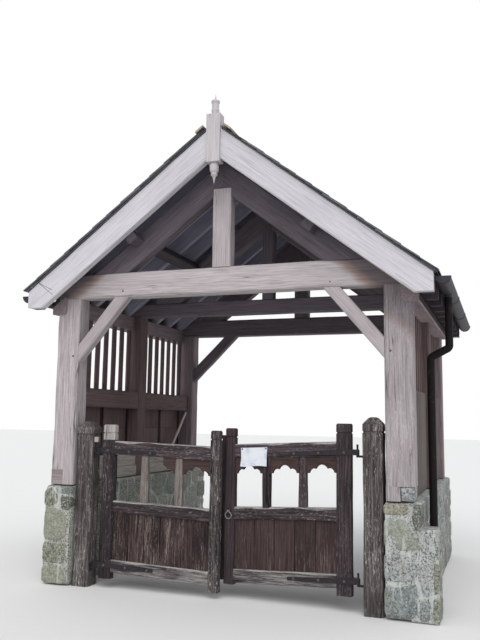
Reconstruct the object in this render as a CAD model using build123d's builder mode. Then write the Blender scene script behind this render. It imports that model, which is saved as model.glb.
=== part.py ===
from build123d import *
from math import cos, radians, sin, tan
import os

# A timber lychgate: an open roofed gateway over a pair of gates.
# Millimetres. X runs across the passage, Y runs along it with the front gable
# towards -Y, and Z is up from the ground. The origin is the middle of the
# passage on the ground.

# Timber frame, plan
passage_width = 2626          # between the inner faces of the posts
post_width = 210              # across the passage
post_depth = 172              # along the passage
frame_depth = 2650            # front faces of the front posts to rear faces of the rear posts

# Dwarf walls that carry the frame
wall_height = 820
wall_thickness = 280
wall_reveal = 23              # the wall stands this far into the passage past the posts
wall_end_step = 30            # the wall starts this far in front of the posts
wall_rear_run = 243           # and runs on this far behind them
footing_height = 640          # wider pier at the foot of the right front post
footing_step = 120
footing_length = 275
pad_height = 105              # stone pad under the cut outer half of the right front post

# Plates, ties and roof trusses
plate_width = 135
plate_height = 150
plate_overhang = 53           # beyond the posts' outer faces
plate_projection = 15         # beyond the posts' front and back faces
plate_flat = 20               # level part of a plate's top, inside its bevel under the rafters
front_tie_lap = 15            # undersides of the ties below the tops of the plates
middle_tie_lap = 5
rear_tie_lap = 70
front_tie_height = 210
middle_tie_height = 135
rear_tie_height = 188
tie_depth = 150
king_post_widths = (158, 110, 158)
king_post_depth = 110
king_post_drop = 481          # roof line at the ridge to the king posts' flat heads
principal_height = 195
principal_depth = 110
principal_drop = 190          # roof line to the backs of the principal rafters, square to the slope

# Knee braces: foot on the post and head on the tie
brace_depth = 90
brace_setback = 6
front_brace_rise = 542        # foot to head along the inner edge
front_brace_foot_height = 133
front_brace_reach = 470       # from the post's inner face to the far edge of the head
front_brace_head_width = 136
rear_brace_rise = 860
rear_brace_foot_height = 155
rear_brace_reach = 578
rear_brace_head_width = 158

# Roof covering: the roof line is the top of the barge boards
ridge_height = 3760
roof_pitch = 37.58
eaves_overhang = 173          # ends of the rafters and barge boards beyond the posts' outer faces
board_thickness = 22
board_ridge_gap = 6
rafter_height = 145
rafter_width = 60
rafter_count = 10
ridge_board_width = 40
ridge_board_depth = 255       # roof line at the ridge to the underside of the ridge board
purlin_height = 100
purlin_width = 90
purlin_share = 0.472          # of the way from the ridge to the eaves
slate_thickness = 30
slate_eaves_overhang = 24
slate_gable_overhang = 30
ridge_tile_leg = 165
ridge_tile_thickness = 16

# Barge boards and finials
barge_face_overhang = 213     # outer faces of the barge boards beyond the posts
barge_thickness = 70
barge_height = 253            # measured plumb
eaves_cut = 143               # roof line at the eaves to the level cut of the rafters and boards
finial_width = 117
finial_projection = 22        # beyond the barge boards
finial_shaft_drop = 325       # roof line at the ridge to the shaft's lower end
finial_shaft_rise = 78        # and to its upper end
finial_head_height = 185
finial_pendant_length = 174

# Half-round gutters, brackets and downpipe
gutter_radius = 55
gutter_wall = 4
gutter_end_setback = 75       # behind the faces of the barge boards
stop_end_thickness = 4
bracket_width = 30
bracket_step = 3              # a bracket at every third rafter
bracket_wall = 4
outlet_length = 18            # below the trough
bracket_plate = 95
pipe_radius = 30
pipe_wall_gap = 60            # between the post's outer face and the pipe
pipe_setback = 385            # pipe axis behind the front faces of the front posts
pipe_neck_drop = 465          # gutter rim to the upper bend
pipe_neck_rise = 75           # upper bend to the lower one
pipe_foot = 140

# Side screens: sill, mid rail, upright slats above and boards below
rail_setback = 50             # behind the front posts' inner faces
rail_width = 100
sill_height = 150
lower_boards_height = 510     # top of the sill to the mid rail
mid_rail_height = 170
screen_board_thickness = 22
screen_board_lap = 160        # the boards run up this far behind the mid rail
slat_width = 68
slat_thickness = 18
slat_pitch = 150
slat_setback = 4              # behind the outer face of the rail

# Gate posts, against the dwarf walls
gate_post_width = 147
gate_post_depth = 150
gate_post_setback = 20        # behind the front faces of the front posts
left_gate_post_height = 1352
right_gate_post_height = 1420
gate_post_head = 48           # height of the sloped head
gate_post_head_slope = 45     # degrees from upright
groove_height = 9
groove_depth = 6
groove_drop = 62              # below the shoulder of the head

# Gate leaves. Heights are taken at the hanging edge of the left leaf.
leaf_thickness = 60
leaf_setback = 40             # leaf face behind the front faces of the front posts
hinge_to_post = 46            # pin axis to the inner face of the gate post
hinge_to_leaf = 42            # pin axis to the hanging edge of the leaf
meeting_offset = 6            # the left leaf reaches this far past the middle
meeting_gap = 12              # between the two meeting stiles when both leaves are shut
right_leaf_lift = 42          # the right leaf hangs this much higher
left_leaf_fall = 0.0285       # the leaves have dropped towards their meeting stiles
right_leaf_fall = 0.050
right_leaf_ajar = 4.5         # degrees, as it stands in the photograph
hanging_stile_width = 115
meeting_stile_width = 84
hanging_stile_top = 1330
meeting_stile_top = 1325
stile_foot = 80
rotted_foot_loss = 38         # the right meeting stile is worn away at its foot
stile_groove_drop = 74
top_rail_top = 1197
top_rail_height = 112
mid_rail_top = 708
mid_rail_depth_z = 95
mid_rail_bevel = 20
bottom_rail_top = 233
bottom_rail_height = 103
muntin_width = 66
muntin_thickness = 44
head_height = 120
head_thickness = 30
head_rise = 62
head_shoulder = 18
broken_head_share = 0.44      # what is left of the middle head of the left leaf
panel_thickness = 25
panel_setback = 18

# Gate ironwork
strap_length = 500
strap_width = 42
strap_tip_width = 26
strap_thickness = 6
top_strap_drop = 82           # middle of the strap below the top of its rail
bottom_strap_drop = 47
eye_radius = 15
pin_radius = 8
pin_clearance = 1
pin_top_length = 38           # the pin stands this far above the eye
hook_bar = 16
seat_gap = 0.3
hook_plate_height = 70
hook_plate_width = 44
hook_plate_thickness = 4
latch_plate_radius = 22
latch_plate_thickness = 4
latch_height = 626            # at the hanging edge
ring_boss_radius = 9
ring_boss_length = 22
ring_radius = 26
ring_bar_radius = 4
ring_running_gap = 0.5

# Values that follow from the ones above
post_inner = passage_width / 2
post_outer = post_inner + post_width
post_middle = (post_inner + post_outer) / 2
frame_front = -frame_depth / 2
frame_back = frame_depth / 2
tie_heights = (front_tie_height, middle_tie_height, rear_tie_height)
wall_inner = post_inner - wall_reveal
wall_outer = wall_inner + wall_thickness
plate_outer = post_outer + plate_overhang
plate_inner = plate_outer - plate_width
plate_start = frame_front - plate_projection
barge_back = frame_front - barge_face_overhang + barge_thickness
barge_front = frame_front - barge_face_overhang
slates_front = barge_front - slate_gable_overhang
cos_pitch = cos(radians(roof_pitch))
tan_pitch = tan(radians(roof_pitch))
eaves_reach = post_outer + eaves_overhang
eaves_height = ridge_height - tan_pitch * eaves_reach
barge_foot_height = eaves_height - eaves_cut
ridge_board_underside = ridge_height - ridge_board_depth
purlin_position = purlin_share * eaves_reach
commons_drop = board_thickness + rafter_height
plate_top = ridge_height - tan_pitch * (plate_inner + plate_flat) - commons_drop / cos_pitch
plate_underside = plate_top - plate_height
tie_undersides = (plate_top - front_tie_lap, plate_top - middle_tie_lap, plate_top - rear_tie_lap)
front_brace_foot = tie_undersides[0] - front_brace_rise
rear_brace_foot = tie_undersides[2] - rear_brace_rise
finial_shaft_foot = ridge_height - finial_shaft_drop
finial_shaft_top = ridge_height + finial_shaft_rise
king_post_top = ridge_height - king_post_drop
mid_rail_underside = wall_height + sill_height + lower_boards_height
screen_board_top = mid_rail_underside + screen_board_lap
principal_underside = principal_drop + principal_height
rafter_first = barge_back + rafter_width / 2
rafter_spacing = -2 * rafter_first / (rafter_count - 1)
rafter_centres = [rafter_first + i * rafter_spacing for i in range(rafter_count)]
rail_inner = post_inner + rail_setback
post_inners = (post_inner, rail_inner, post_inner)
post_fronts = (frame_front, -post_depth / 2, frame_back - post_depth)
tie_fronts = (frame_front, -tie_depth / 2, frame_back - tie_depth)
gutter_x = eaves_reach + bracket_wall + gutter_radius
gutter_rim = eaves_height - board_thickness / cos_pitch
pipe_offset_top = gutter_rim - pipe_neck_drop
pipe_offset_foot = pipe_offset_top - pipe_neck_rise
outlet_foot = gutter_rim - gutter_radius - outlet_length
pipe_y = frame_front + pipe_setback
gate_post_front = frame_front + gate_post_setback
gate_post_inner = wall_inner - gate_post_width
hinge_x = gate_post_inner - hinge_to_post
leaf_edge = hinge_x - hinge_to_leaf
left_leaf_width = leaf_edge + meeting_offset
right_leaf_width = leaf_edge - meeting_offset - meeting_gap
top_strap_height = top_rail_top - top_strap_drop
bottom_strap_height = bottom_rail_top - bottom_strap_drop
leaf_front = frame_front + leaf_setback
leaf_back = leaf_front + leaf_thickness
hinge_y = leaf_front + leaf_thickness / 2
SIDES = (-1, 1)
ENDS = (-1, 1)


def upright_plane(y):
    """A plane across the passage at y, drawn in X and Z, whose extrusions run towards +Y."""
    return Plane(origin=(0, y, 0), x_dir=(-1, 0, 0), z_dir=(0, 1, 0))


def across(points):
    """Points given as (x, z), for a sketch on an upright plane."""
    return [(-x, z) for x, z in points]


def roof_z(x, drop=0.0):
    """Height of a line under the roof line at x, drop being square to the slope."""
    return ridge_height - tan_pitch * abs(x) - drop / cos_pitch


def roof_x(z, drop=0.0):
    """Distance from the middle at which that line comes down to z."""
    return (ridge_height - drop / cos_pitch - z) / tan_pitch


def bar_outline(inner, outer, low, high):
    return [(inner, low), (outer, low), (outer, high), (inner, high)]


def slope_outline(side, inner, outer, top_drop, low_drop):
    """A layer of one roof slope with plumb ends."""
    return [
        (side * inner, roof_z(inner, top_drop)),
        (side * outer, roof_z(outer, top_drop)),
        (side * outer, roof_z(outer, low_drop)),
        (side * inner, roof_z(inner, low_drop)),
    ]


def prism(points, y, length, mode=Mode.ADD):
    """Extrude an outline given in X and Z from y towards +Y, into the part being built."""
    with BuildSketch(upright_plane(y)) as section:
        with BuildLine():
            Polyline(*across(points), close=True)
        make_face()
    extrude(section.sketch, amount=length, mode=mode)


def cut_to_roof(drop):
    """Cut away what stands above a line under the roof line."""
    reach = max(eaves_reach, post_outer)
    prism([(-reach, roof_z(reach, drop)), (0, roof_z(0, drop)), (reach, roof_z(reach, drop)),
           (reach, ridge_height), (-reach, ridge_height)],
          barge_front, -2 * barge_front, Mode.SUBTRACT)


def save(piece, name):
    piece.label = name
    export_step(piece, "parts/" + name + ".step")
    print(name, "%.5f m3" % (piece.volume / 1e9))


def make_wall(side):
    wall_front = frame_front - wall_end_step
    with BuildPart() as wall:
        prism(bar_outline(side * wall_inner, side * wall_outer, 0, wall_height),
              wall_front, wall_end_step + frame_depth + wall_rear_run)
        if side > 0:
            prism(bar_outline(wall_inner, wall_outer + footing_step, 0, footing_height),
                  wall_front, footing_length)
            prism(bar_outline(post_middle, post_outer, wall_height, wall_height + pad_height),
                  frame_front, post_depth)
    return wall.part


def make_post(side, row, cut_foot=False):
    """A post from the dwarf wall up to its tie, slotted for the wall plate."""
    front = post_fronts[row]
    with BuildPart() as post:
        prism(bar_outline(side * post_inners[row], side * post_outer,
                          wall_height, tie_undersides[row]),
              front, post_depth)
        prism(bar_outline(side * plate_inner, side * plate_outer, plate_underside, ridge_height),
              front, post_depth, Mode.SUBTRACT)
        if cut_foot:
            prism(bar_outline(side * post_middle, side * post_outer,
                              wall_height, wall_height + pad_height),
                  front, post_depth, Mode.SUBTRACT)
    return post.part


def make_post_pair(row):
    with BuildPart() as pair:
        for side in SIDES:
            add(make_post(side, row))
    return pair.part


def make_wall_plates():
    """Plates let into the posts' tops, bevelled under the rafters and trenched under the ties."""
    with BuildPart() as plates:
        for side in SIDES:
            prism(bar_outline(side * plate_inner, side * plate_outer, plate_underside, plate_top),
                  plate_start, -2 * plate_start)
        cut_to_roof(commons_drop)
        for front, underside in zip(tie_fronts, tie_undersides):
            if underside < plate_top:
                prism(bar_outline(-post_outer, post_outer, underside, ridge_height),
                      front, tie_depth, Mode.SUBTRACT)
    return plates.part


def make_tie(row):
    """A tie beam from post to post, its upper corners cut to the roof boards."""
    low = tie_undersides[row]
    with BuildPart() as tie:
        prism(bar_outline(-post_outer, post_outer, low, low + tie_heights[row]),
              tie_fronts[row], tie_depth)
        cut_to_roof(board_thickness)
    return tie.part


def make_king_posts():
    """Each king post rises from its tie to a flat head that the principal rafters sit on."""
    with BuildPart() as kings:
        for row, front in enumerate(tie_fronts):
            half = king_post_widths[row] / 2
            prism(bar_outline(-half, half, tie_undersides[row] + tie_heights[row], king_post_top),
                  front, king_post_depth)
    return kings.part


def make_braces(row, foot, foot_height, reach, head_width):
    head = tie_undersides[row]
    start = tie_fronts[row] + brace_setback
    with BuildPart() as braces:
        for side in SIDES:
            outline = [(side * post_inner, foot), (side * post_inner, foot + foot_height),
                       (side * (post_inner - reach + head_width), head),
                       (side * (post_inner - reach), head)]
            prism(outline, start, brace_depth)
    return braces.part


def make_principal_rafters(side):
    """One slope's principal rafters, notched over the king posts and trenched for the purlin."""
    with BuildPart() as rafters:
        for row, front in enumerate(tie_fronts):
            half = king_post_widths[row] / 2
            seat = tie_undersides[row] + tie_heights[row]
            outline = [(0, ridge_board_underside),
                       (side * roof_x(ridge_board_underside, principal_drop),
                        ridge_board_underside),
                       (side * roof_x(seat, principal_drop), seat),
                       (side * roof_x(seat, principal_underside), seat),
                       (side * half, roof_z(half, principal_underside)),
                       (side * half, king_post_top),
                       (0, king_post_top)]
            prism(outline, front, principal_depth)
        prism(purlin_outline(side), frame_front, frame_depth, Mode.SUBTRACT)
    return rafters.part


def purlin_outline(side):
    half_run = purlin_width * cos_pitch / 2
    return slope_outline_square(side, purlin_position - half_run, purlin_position + half_run,
                                commons_drop, commons_drop + purlin_height)


def slope_outline_square(side, inner, outer, top_drop, low_drop):
    """A bar under one slope whose section is square to the slope."""
    shift = (low_drop - top_drop) * sin(radians(roof_pitch))
    return [
        (side * inner, roof_z(inner, top_drop)),
        (side * outer, roof_z(outer, top_drop)),
        (side * (outer - shift), roof_z(outer - shift, low_drop)),
        (side * (inner - shift), roof_z(inner - shift, low_drop)),
    ]


def make_purlins_and_ridge():
    half = ridge_board_width / 2
    ridge = [(-half, ridge_board_underside), (half, ridge_board_underside),
             (half, roof_z(half, board_thickness)), (0, roof_z(0, board_thickness)),
             (-half, roof_z(half, board_thickness))]
    with BuildPart() as members:
        for side in SIDES:
            prism(purlin_outline(side), barge_back, -2 * barge_back)
        prism(ridge, barge_back, -2 * barge_back)
    return members.part


def make_common_rafters():
    """Rafters from the ridge board to the eaves, on the plates' bevels, with level feet."""
    with BuildPart() as rafters:
        for side in SIDES:
            for centre in rafter_centres:
                prism(slope_outline(side, ridge_board_width / 2, eaves_reach,
                                    board_thickness, commons_drop),
                      centre - rafter_width / 2, rafter_width)
            prism(bar_outline(side * plate_outer, side * eaves_reach, 0, barge_foot_height),
                  barge_back, -2 * barge_back, Mode.SUBTRACT)
    return rafters.part


def make_roof_boards():
    with BuildPart() as boards:
        for side in SIDES:
            prism(slope_outline(side, board_ridge_gap, eaves_reach, 0, board_thickness),
                  barge_back, -2 * barge_back)
    return boards.part


def make_slates(side):
    """One slope of slating, which laps over the barge boards and round the finials."""
    with BuildPart() as slates:
        prism(slope_outline(side, 0, eaves_reach + slate_eaves_overhang, -slate_thickness, 0),
              slates_front, -2 * slates_front)
        cut_finials()
    return slates.part


def cut_finials():
    """Leave room for the finial shafts at both gables."""
    half = finial_width / 2
    for end in ENDS:
        outer = end * (slates_front - 1)
        inner = end * barge_back
        prism(bar_outline(-half, half, finial_shaft_foot, finial_shaft_top + 1),
              min(outer, inner), abs(outer - inner), Mode.SUBTRACT)


def make_ridge_tiles():
    """Angled ridge tiles bedded on the slates."""
    run = ridge_tile_leg * cos_pitch
    low, high = -slate_thickness, -slate_thickness - ridge_tile_thickness
    outline = [(-run, roof_z(run, low)), (0, roof_z(0, low)), (run, roof_z(run, low)),
               (run, roof_z(run, high)), (0, roof_z(0, high)), (-run, roof_z(run, high))]
    with BuildPart() as tiles:
        prism(outline, slates_front, -2 * slates_front)
        cut_finials()
    return tiles.part


def make_barge_boards(end):
    """Two boards that butt the finial, with plumb ends and a level cut below."""
    half = finial_width / 2
    foot_x = (ridge_height - barge_height - barge_foot_height) / tan_pitch
    start = barge_front if end < 0 else -barge_back
    with BuildPart() as boards:
        for side in SIDES:
            outline = [(side * half, roof_z(half)), (side * eaves_reach, roof_z(eaves_reach)),
                       (side * eaves_reach, barge_foot_height), (side * foot_x, barge_foot_height),
                       (side * half, roof_z(half) - barge_height)]
            prism(outline, start, barge_thickness)
    return boards.part


def finial_profiles():
    """Half outlines of the turned head and pendant, by shares of their width and length."""
    half = finial_width / 2
    head = [(0, 0), (0.47, 0), (0.56, 0.22), (0.5, 0.3), (0.5, 0.52),
            (0.6, 0.58), (0.6, 0.65), (0.14, 0.7), (0, 1)]
    pendant = [(0, 0), (0.48, 0), (0.64, 0.16), (0.6, 0.4), (0.4, 0.5), (0.48, 0.58),
               (0.22, 0.68), (0, 1)]
    return [
        [(half * r, finial_shaft_top + finial_head_height * t) for r, t in head],
        [(half * r, finial_shaft_foot - finial_pendant_length * t) for r, t in pendant],
    ]


def make_finials():
    """A square shaft between the barge boards, with a turned head and pendant."""
    half = finial_width / 2
    shaft_depth = barge_back - barge_front + finial_projection
    with BuildPart() as finials:
        for end in ENDS:
            start = barge_front - finial_projection if end < 0 else -barge_back
            axis_y = start + shaft_depth / 2
            prism(bar_outline(-half, half, finial_shaft_foot, finial_shaft_top),
                  start, shaft_depth)
            for points in finial_profiles():
                with BuildSketch(Plane(origin=(0, axis_y, 0), x_dir=(1, 0, 0), z_dir=(0, -1, 0))):
                    with BuildLine():
                        Polyline(*points, close=True)
                    make_face()
                revolve(axis=Axis((0, axis_y, 0), (0, 0, 1)))
    return finials.part


def make_gutters():
    """Half-round gutters in brackets that are fixed to the rafter feet, with one outlet."""
    start = barge_front + gutter_end_setback
    with BuildPart() as gutters:
        for side in SIDES:
            half_ring(side * gutter_x, gutter_rim, gutter_radius, gutter_wall, start, -2 * start)
            half_disc(side * gutter_x, gutter_rim, gutter_radius, start, stop_end_thickness)
            half_disc(side * gutter_x, gutter_rim, gutter_radius, -start - stop_end_thickness,
                      stop_end_thickness)
            for centre in rafter_centres[::bracket_step]:
                first = centre - bracket_width / 2
                half_ring(side * gutter_x, gutter_rim, gutter_radius + bracket_wall,
                          bracket_wall, first, bracket_width)
                prism(bar_outline(side * eaves_reach, side * (eaves_reach + bracket_wall),
                                  gutter_rim - bracket_plate, gutter_rim),
                      first, bracket_width)
        with BuildSketch(Plane(origin=(gutter_x, pipe_y, outlet_foot))):
            Circle(pipe_radius)
        extrude(amount=gutter_rim - outlet_foot)
        trough = gutter_radius - gutter_wall
        with BuildSketch(upright_plane(pipe_y - trough)):
            with Locations((-gutter_x, gutter_rim)):
                Circle(trough)
        extrude(amount=2 * trough, mode=Mode.SUBTRACT)
    return gutters.part


def half_ring(x, z, radius, wall, start, length):
    """A half-round trough, open upwards."""
    with BuildSketch(upright_plane(start)) as section:
        with Locations((-x, z)):
            Circle(radius)
            Circle(radius - wall, mode=Mode.SUBTRACT)
        with Locations((-x, z + radius)):
            Rectangle(4 * radius, 2 * radius, mode=Mode.SUBTRACT)
    extrude(section.sketch, amount=length)


def half_disc(x, z, radius, start, length):
    """A stop end for a half-round trough."""
    with BuildSketch(upright_plane(start)) as section:
        with Locations((-x, z)):
            Circle(radius)
        with Locations((-x, z + radius)):
            Rectangle(4 * radius, 2 * radius, mode=Mode.SUBTRACT)
    extrude(section.sketch, amount=length)


def make_downpipe():
    """A round pipe from the right gutter, with a swan neck back to the post and a shoe."""
    axis_x = post_outer + pipe_wall_gap + pipe_radius
    with BuildPart() as pipe:
        with BuildLine() as route:
            FilletPolyline((gutter_x, pipe_y, outlet_foot), (gutter_x, pipe_y, pipe_offset_top),
                           (axis_x, pipe_y, pipe_offset_foot), (axis_x, pipe_y, pipe_foot),
                           radius=pipe_radius * 1.1)
        with BuildSketch(Plane(origin=(gutter_x, pipe_y, outlet_foot), z_dir=(0, 0, -1))):
            Circle(pipe_radius)
        sweep(path=route.wire())
    return pipe.part


def bays():
    """The two stretches of side screen between the posts: start and length."""
    first = frame_front + post_depth
    length = post_fronts[1] - first
    return [(first, length), (-first - length, length)]


def make_screen_rails():
    outer = rail_inner + rail_width
    with BuildPart() as rails:
        for side in SIDES:
            for start, length in bays():
                prism(bar_outline(side * rail_inner, side * outer,
                                  wall_height, wall_height + sill_height), start, length)
                prism(bar_outline(side * rail_inner, side * outer,
                                  mid_rail_underside, mid_rail_underside + mid_rail_height),
                      start, length)
    return rails.part


def make_screen_boards():
    inner = rail_inner + rail_width
    with BuildPart() as boards:
        for side in SIDES:
            for start, length in bays():
                prism(bar_outline(side * inner, side * (inner + screen_board_thickness),
                                  wall_height, screen_board_top), start, length)
    return boards.part


def make_screen_slats():
    """Upright slats between the mid rail and the wall plate, evenly spaced in each bay."""
    outer = rail_inner + rail_width - slat_setback
    low = mid_rail_underside + mid_rail_height
    with BuildPart() as slats:
        for side in SIDES:
            for start, length in bays():
                count = int(length // slat_pitch)
                first = start + (length - (count - 1) * slat_pitch - slat_width) / 2
                for i in range(count):
                    prism(bar_outline(side * (outer - slat_thickness), side * outer,
                                      low, plate_underside), first + i * slat_pitch, slat_width)
    return slats.part


def make_gate_post(side, height):
    """A square post with a sloped head and a groove cut round it."""
    shoulder = height - gate_post_head
    centre = (side * (gate_post_inner + gate_post_width / 2), gate_post_front + gate_post_depth / 2)
    groove_middle = shoulder - groove_drop
    with BuildPart() as post:
        with BuildSketch():
            with Locations(centre):
                Rectangle(gate_post_width, gate_post_depth)
        extrude(amount=shoulder)
        with BuildSketch(Plane.XY.offset(shoulder)):
            with Locations(centre):
                Rectangle(gate_post_width, gate_post_depth)
        extrude(amount=gate_post_head, taper=gate_post_head_slope)
        with BuildSketch(Plane.XY.offset(groove_middle - groove_height / 2)):
            with Locations(centre):
                Rectangle(gate_post_width, gate_post_depth)
                Rectangle(gate_post_width - 2 * groove_depth, gate_post_depth - 2 * groove_depth,
                          mode=Mode.SUBTRACT)
        extrude(amount=groove_height, mode=Mode.SUBTRACT)
    return post.part


class Leaf:
    """Sizes of one gate leaf, and where its points lie as it hangs."""

    def __init__(self, side, width, lift, fall):
        self.side = side
        self.width = width
        self.lift = lift
        self.fall = fall
        self.clear = width - hanging_stile_width - meeting_stile_width
        self.opening = (self.clear - 2 * muntin_width) / 3

    def point(self, along, height):
        """A point a distance along the leaf from its hanging edge, dropped as the leaf has."""
        return (self.side * (leaf_edge - along), height + self.lift - self.fall * along)

    def outline(self, start, end, low, high):
        return [self.point(start, low), self.point(end, low),
                self.point(end, high), self.point(start, high)]

    def opening_start(self, index):
        return hanging_stile_width + index * (self.opening + muntin_width)


left_leaf = Leaf(-1, left_leaf_width, 0, left_leaf_fall)
right_leaf = Leaf(1, right_leaf_width, right_leaf_lift, right_leaf_fall)


def make_stiles(leaf, foot_loss=0.0):
    """Hanging and meeting stiles that run on above the top rail, each grooved near its top."""
    meeting_start = leaf.width - meeting_stile_width
    with BuildPart() as stiles:
        for start, end, top, foot in (
                (0, hanging_stile_width, hanging_stile_top, stile_foot),
                (meeting_start, leaf.width, meeting_stile_top, stile_foot + foot_loss)):
            prism(leaf.outline(start, end, foot, top), leaf_front, leaf_thickness)
            groove = leaf.outline(start, end, top - stile_groove_drop,
                                  top - stile_groove_drop + groove_height)
            for y in (leaf_front, leaf_back - groove_depth):
                prism(groove, y, groove_depth, Mode.SUBTRACT)
    return stiles.part


def make_rails(leaf):
    """Top, middle and bottom rails; the middle one is bevelled to shed rain."""
    start = hanging_stile_width
    end = leaf.width - meeting_stile_width
    levels = ((top_rail_top, top_rail_height), (mid_rail_top, mid_rail_depth_z),
              (bottom_rail_top, bottom_rail_height))
    with BuildPart() as rails:
        for top, height in levels:
            prism(leaf.outline(start, end, top - height, top), leaf_front, leaf_thickness)
        bevel_start = leaf.point(start, mid_rail_top)
        bevel_end = leaf.point(end, mid_rail_top)
        run = Vector(bevel_end[0] - bevel_start[0], 0, bevel_end[1] - bevel_start[1])
        section = Plane(origin=(bevel_start[0], leaf_front, bevel_start[1]),
                        x_dir=(0, 1, 0), z_dir=(leaf.side, 0, 0))
        with BuildSketch(section):
            with BuildLine():
                up = section.y_dir.Z
                Polyline((0, 0), (mid_rail_bevel, 0), (0, -up * mid_rail_bevel), close=True)
            make_face()
        extrude(amount=run.length, dir=run.normalized(), mode=Mode.SUBTRACT)
    return rails.part


def make_muntins(leaf):
    inset = (leaf_thickness - muntin_thickness) / 2
    with BuildPart() as muntins:
        for index in (0, 1):
            start = leaf.opening_start(index) + leaf.opening
            prism(leaf.outline(start, start + muntin_width, mid_rail_top,
                               top_rail_top - top_rail_height),
                  leaf_front + inset, muntin_thickness)
    return muntins.part


def head_outline(leaf, index):
    """A board under the top rail, its lower edge cut to three lobes."""
    top = top_rail_top - top_rail_height
    low = top - head_height
    start = leaf.opening_start(index)
    width = leaf.opening
    cusp = width * 0.3
    cusp_rise = head_rise * 0.5

    def at(along, rise):
        x, z = leaf.point(start + along, low + rise)
        return (-x, z)

    Polyline(at(head_shoulder, 0), at(0, 0), at(0, head_height), at(width, head_height),
             at(width, 0), at(width - head_shoulder, 0))
    ThreePointArc(at(head_shoulder, 0), at(head_shoulder + 14, cusp_rise * 0.85),
                  at(cusp, cusp_rise))
    ThreePointArc(at(cusp, cusp_rise), at(width / 2, head_rise), at(width - cusp, cusp_rise))
    ThreePointArc(at(width - cusp, cusp_rise),
                  at(width - head_shoulder - 14, cusp_rise * 0.85),
                  at(width - head_shoulder, 0))


def make_heads(leaf, indices, broken=()):
    """Cusped heads of the openings; a broken one keeps only its end by the meeting stile."""
    inset = (leaf_thickness - head_thickness) / 2
    with BuildPart() as heads:
        for index in (*indices, *broken):
            with BuildSketch(upright_plane(leaf_front + inset)):
                with BuildLine():
                    head_outline(leaf, index)
                make_face()
            extrude(amount=head_thickness)
        for index in broken:
            start = leaf.opening_start(index)
            lost = leaf.opening * (1 - broken_head_share)
            prism(leaf.outline(start - 1, start + lost, top_rail_top - top_rail_height
                               - head_height - 1, top_rail_top),
                  leaf_front, leaf_thickness, Mode.SUBTRACT)
    return heads.part


def make_panel(leaf):
    """The boarded lower panel."""
    with BuildPart() as panel:
        prism(leaf.outline(hanging_stile_width, leaf.width - meeting_stile_width,
                           bottom_rail_top, mid_rail_top - mid_rail_depth_z),
              leaf_front + panel_setback, panel_thickness)
    return panel.part


def add_strap(leaf, height):
    """A strap hinge: a leg on each face of the leaf, and an eye round the pin between them."""
    half = strap_width / 2
    tip = strap_tip_width / 2
    eye_low = height + leaf.lift - half
    for y in (leaf_front - strap_thickness, leaf_back):
        prism([leaf.point(0, height - half), leaf.point(strap_length, height - tip),
               leaf.point(strap_length, height + tip), leaf.point(0, height + half)],
              y, strap_thickness)
    x = leaf.side * hinge_x
    edge = leaf.side * leaf_edge
    with BuildSketch(Plane.XY.offset(eye_low)) as eye:
        with BuildLine():
            Polyline((edge, leaf_front - strap_thickness), (edge, leaf_back + strap_thickness),
                     (x, hinge_y + eye_radius), (x, hinge_y - eye_radius), close=True)
        make_face()
        with Locations((x, hinge_y)):
            Circle(eye_radius)
            Circle(pin_radius + pin_clearance, mode=Mode.SUBTRACT)
    extrude(eye.sketch, amount=strap_width)


def make_ironwork(leaf, latch=False):
    with BuildPart() as iron:
        for height in (top_strap_height, bottom_strap_height):
            add_strap(leaf, height)
        if latch:
            x, z = latch_point(leaf)
            with BuildSketch(upright_plane(leaf_front - latch_plate_thickness)):
                with Locations((-x, z)):
                    Circle(latch_plate_radius)
            extrude(amount=latch_plate_thickness)
    return iron.part


def latch_point(leaf):
    along = leaf.width - meeting_stile_width / 2
    return leaf.point(along, latch_height + leaf.fall * leaf.width)


def make_ring_handle(leaf):
    """A ring that hangs from a boss on the meeting stile."""
    x, z = latch_point(leaf)
    plate_face = leaf_front - latch_plate_thickness - ring_running_gap
    ring_y = plate_face - ring_boss_length / 2
    with BuildPart() as ring:
        with BuildSketch(upright_plane(plate_face - ring_boss_length)):
            with Locations((-x, z)):
                Circle(ring_boss_radius)
        extrude(amount=ring_boss_length)
        ring_centre = z - ring_radius - ring_boss_radius + ring_bar_radius / 2
        with BuildSketch(Plane(origin=(x, ring_y, ring_centre), x_dir=(1, 0, 0), z_dir=(0, 0, 1))):
            with Locations((ring_radius, 0)):
                RegularPolygon(ring_bar_radius, 4)
        revolve(axis=Axis((x, ring_y, ring_centre), (0, 1, 0)))
    return ring.part


def make_hooks():
    """Pins on bars that are driven into the gate posts; each eye rides on its bar."""
    with BuildPart() as hooks:
        for leaf in (left_leaf, right_leaf):
            for height in (top_strap_height, bottom_strap_height):
                eye_low = height + leaf.lift - strap_width / 2
                add_hook(leaf.side, eye_low)
    return hooks.part


def add_hook(side, eye_low):
    bar_top = eye_low - seat_gap
    x = side * hinge_x
    with BuildSketch(Plane.XY.offset(bar_top - hook_bar)) as pin:
        with Locations((x, hinge_y)):
            Circle(pin_radius)
    extrude(pin.sketch, amount=hook_bar + seat_gap + strap_width + pin_top_length)
    prism(bar_outline(side * (hinge_x - pin_radius), side * gate_post_inner,
                      bar_top - hook_bar, bar_top), hinge_y - hook_bar / 2, hook_bar)
    prism(bar_outline(side * (gate_post_inner - hook_plate_thickness), side * gate_post_inner,
                      bar_top - hook_bar / 2 - hook_plate_height / 2,
                      bar_top - hook_bar / 2 + hook_plate_height / 2),
          hinge_y - hook_plate_width / 2, hook_plate_width)


def swing(piece, side, angle):
    """Turn a piece of a leaf about its hinge pins; a positive angle opens it inwards."""
    return piece.rotate(Axis((side * hinge_x, hinge_y, 0), (0, 0, 1)), -side * angle)


os.makedirs("parts", exist_ok=True)

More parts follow.
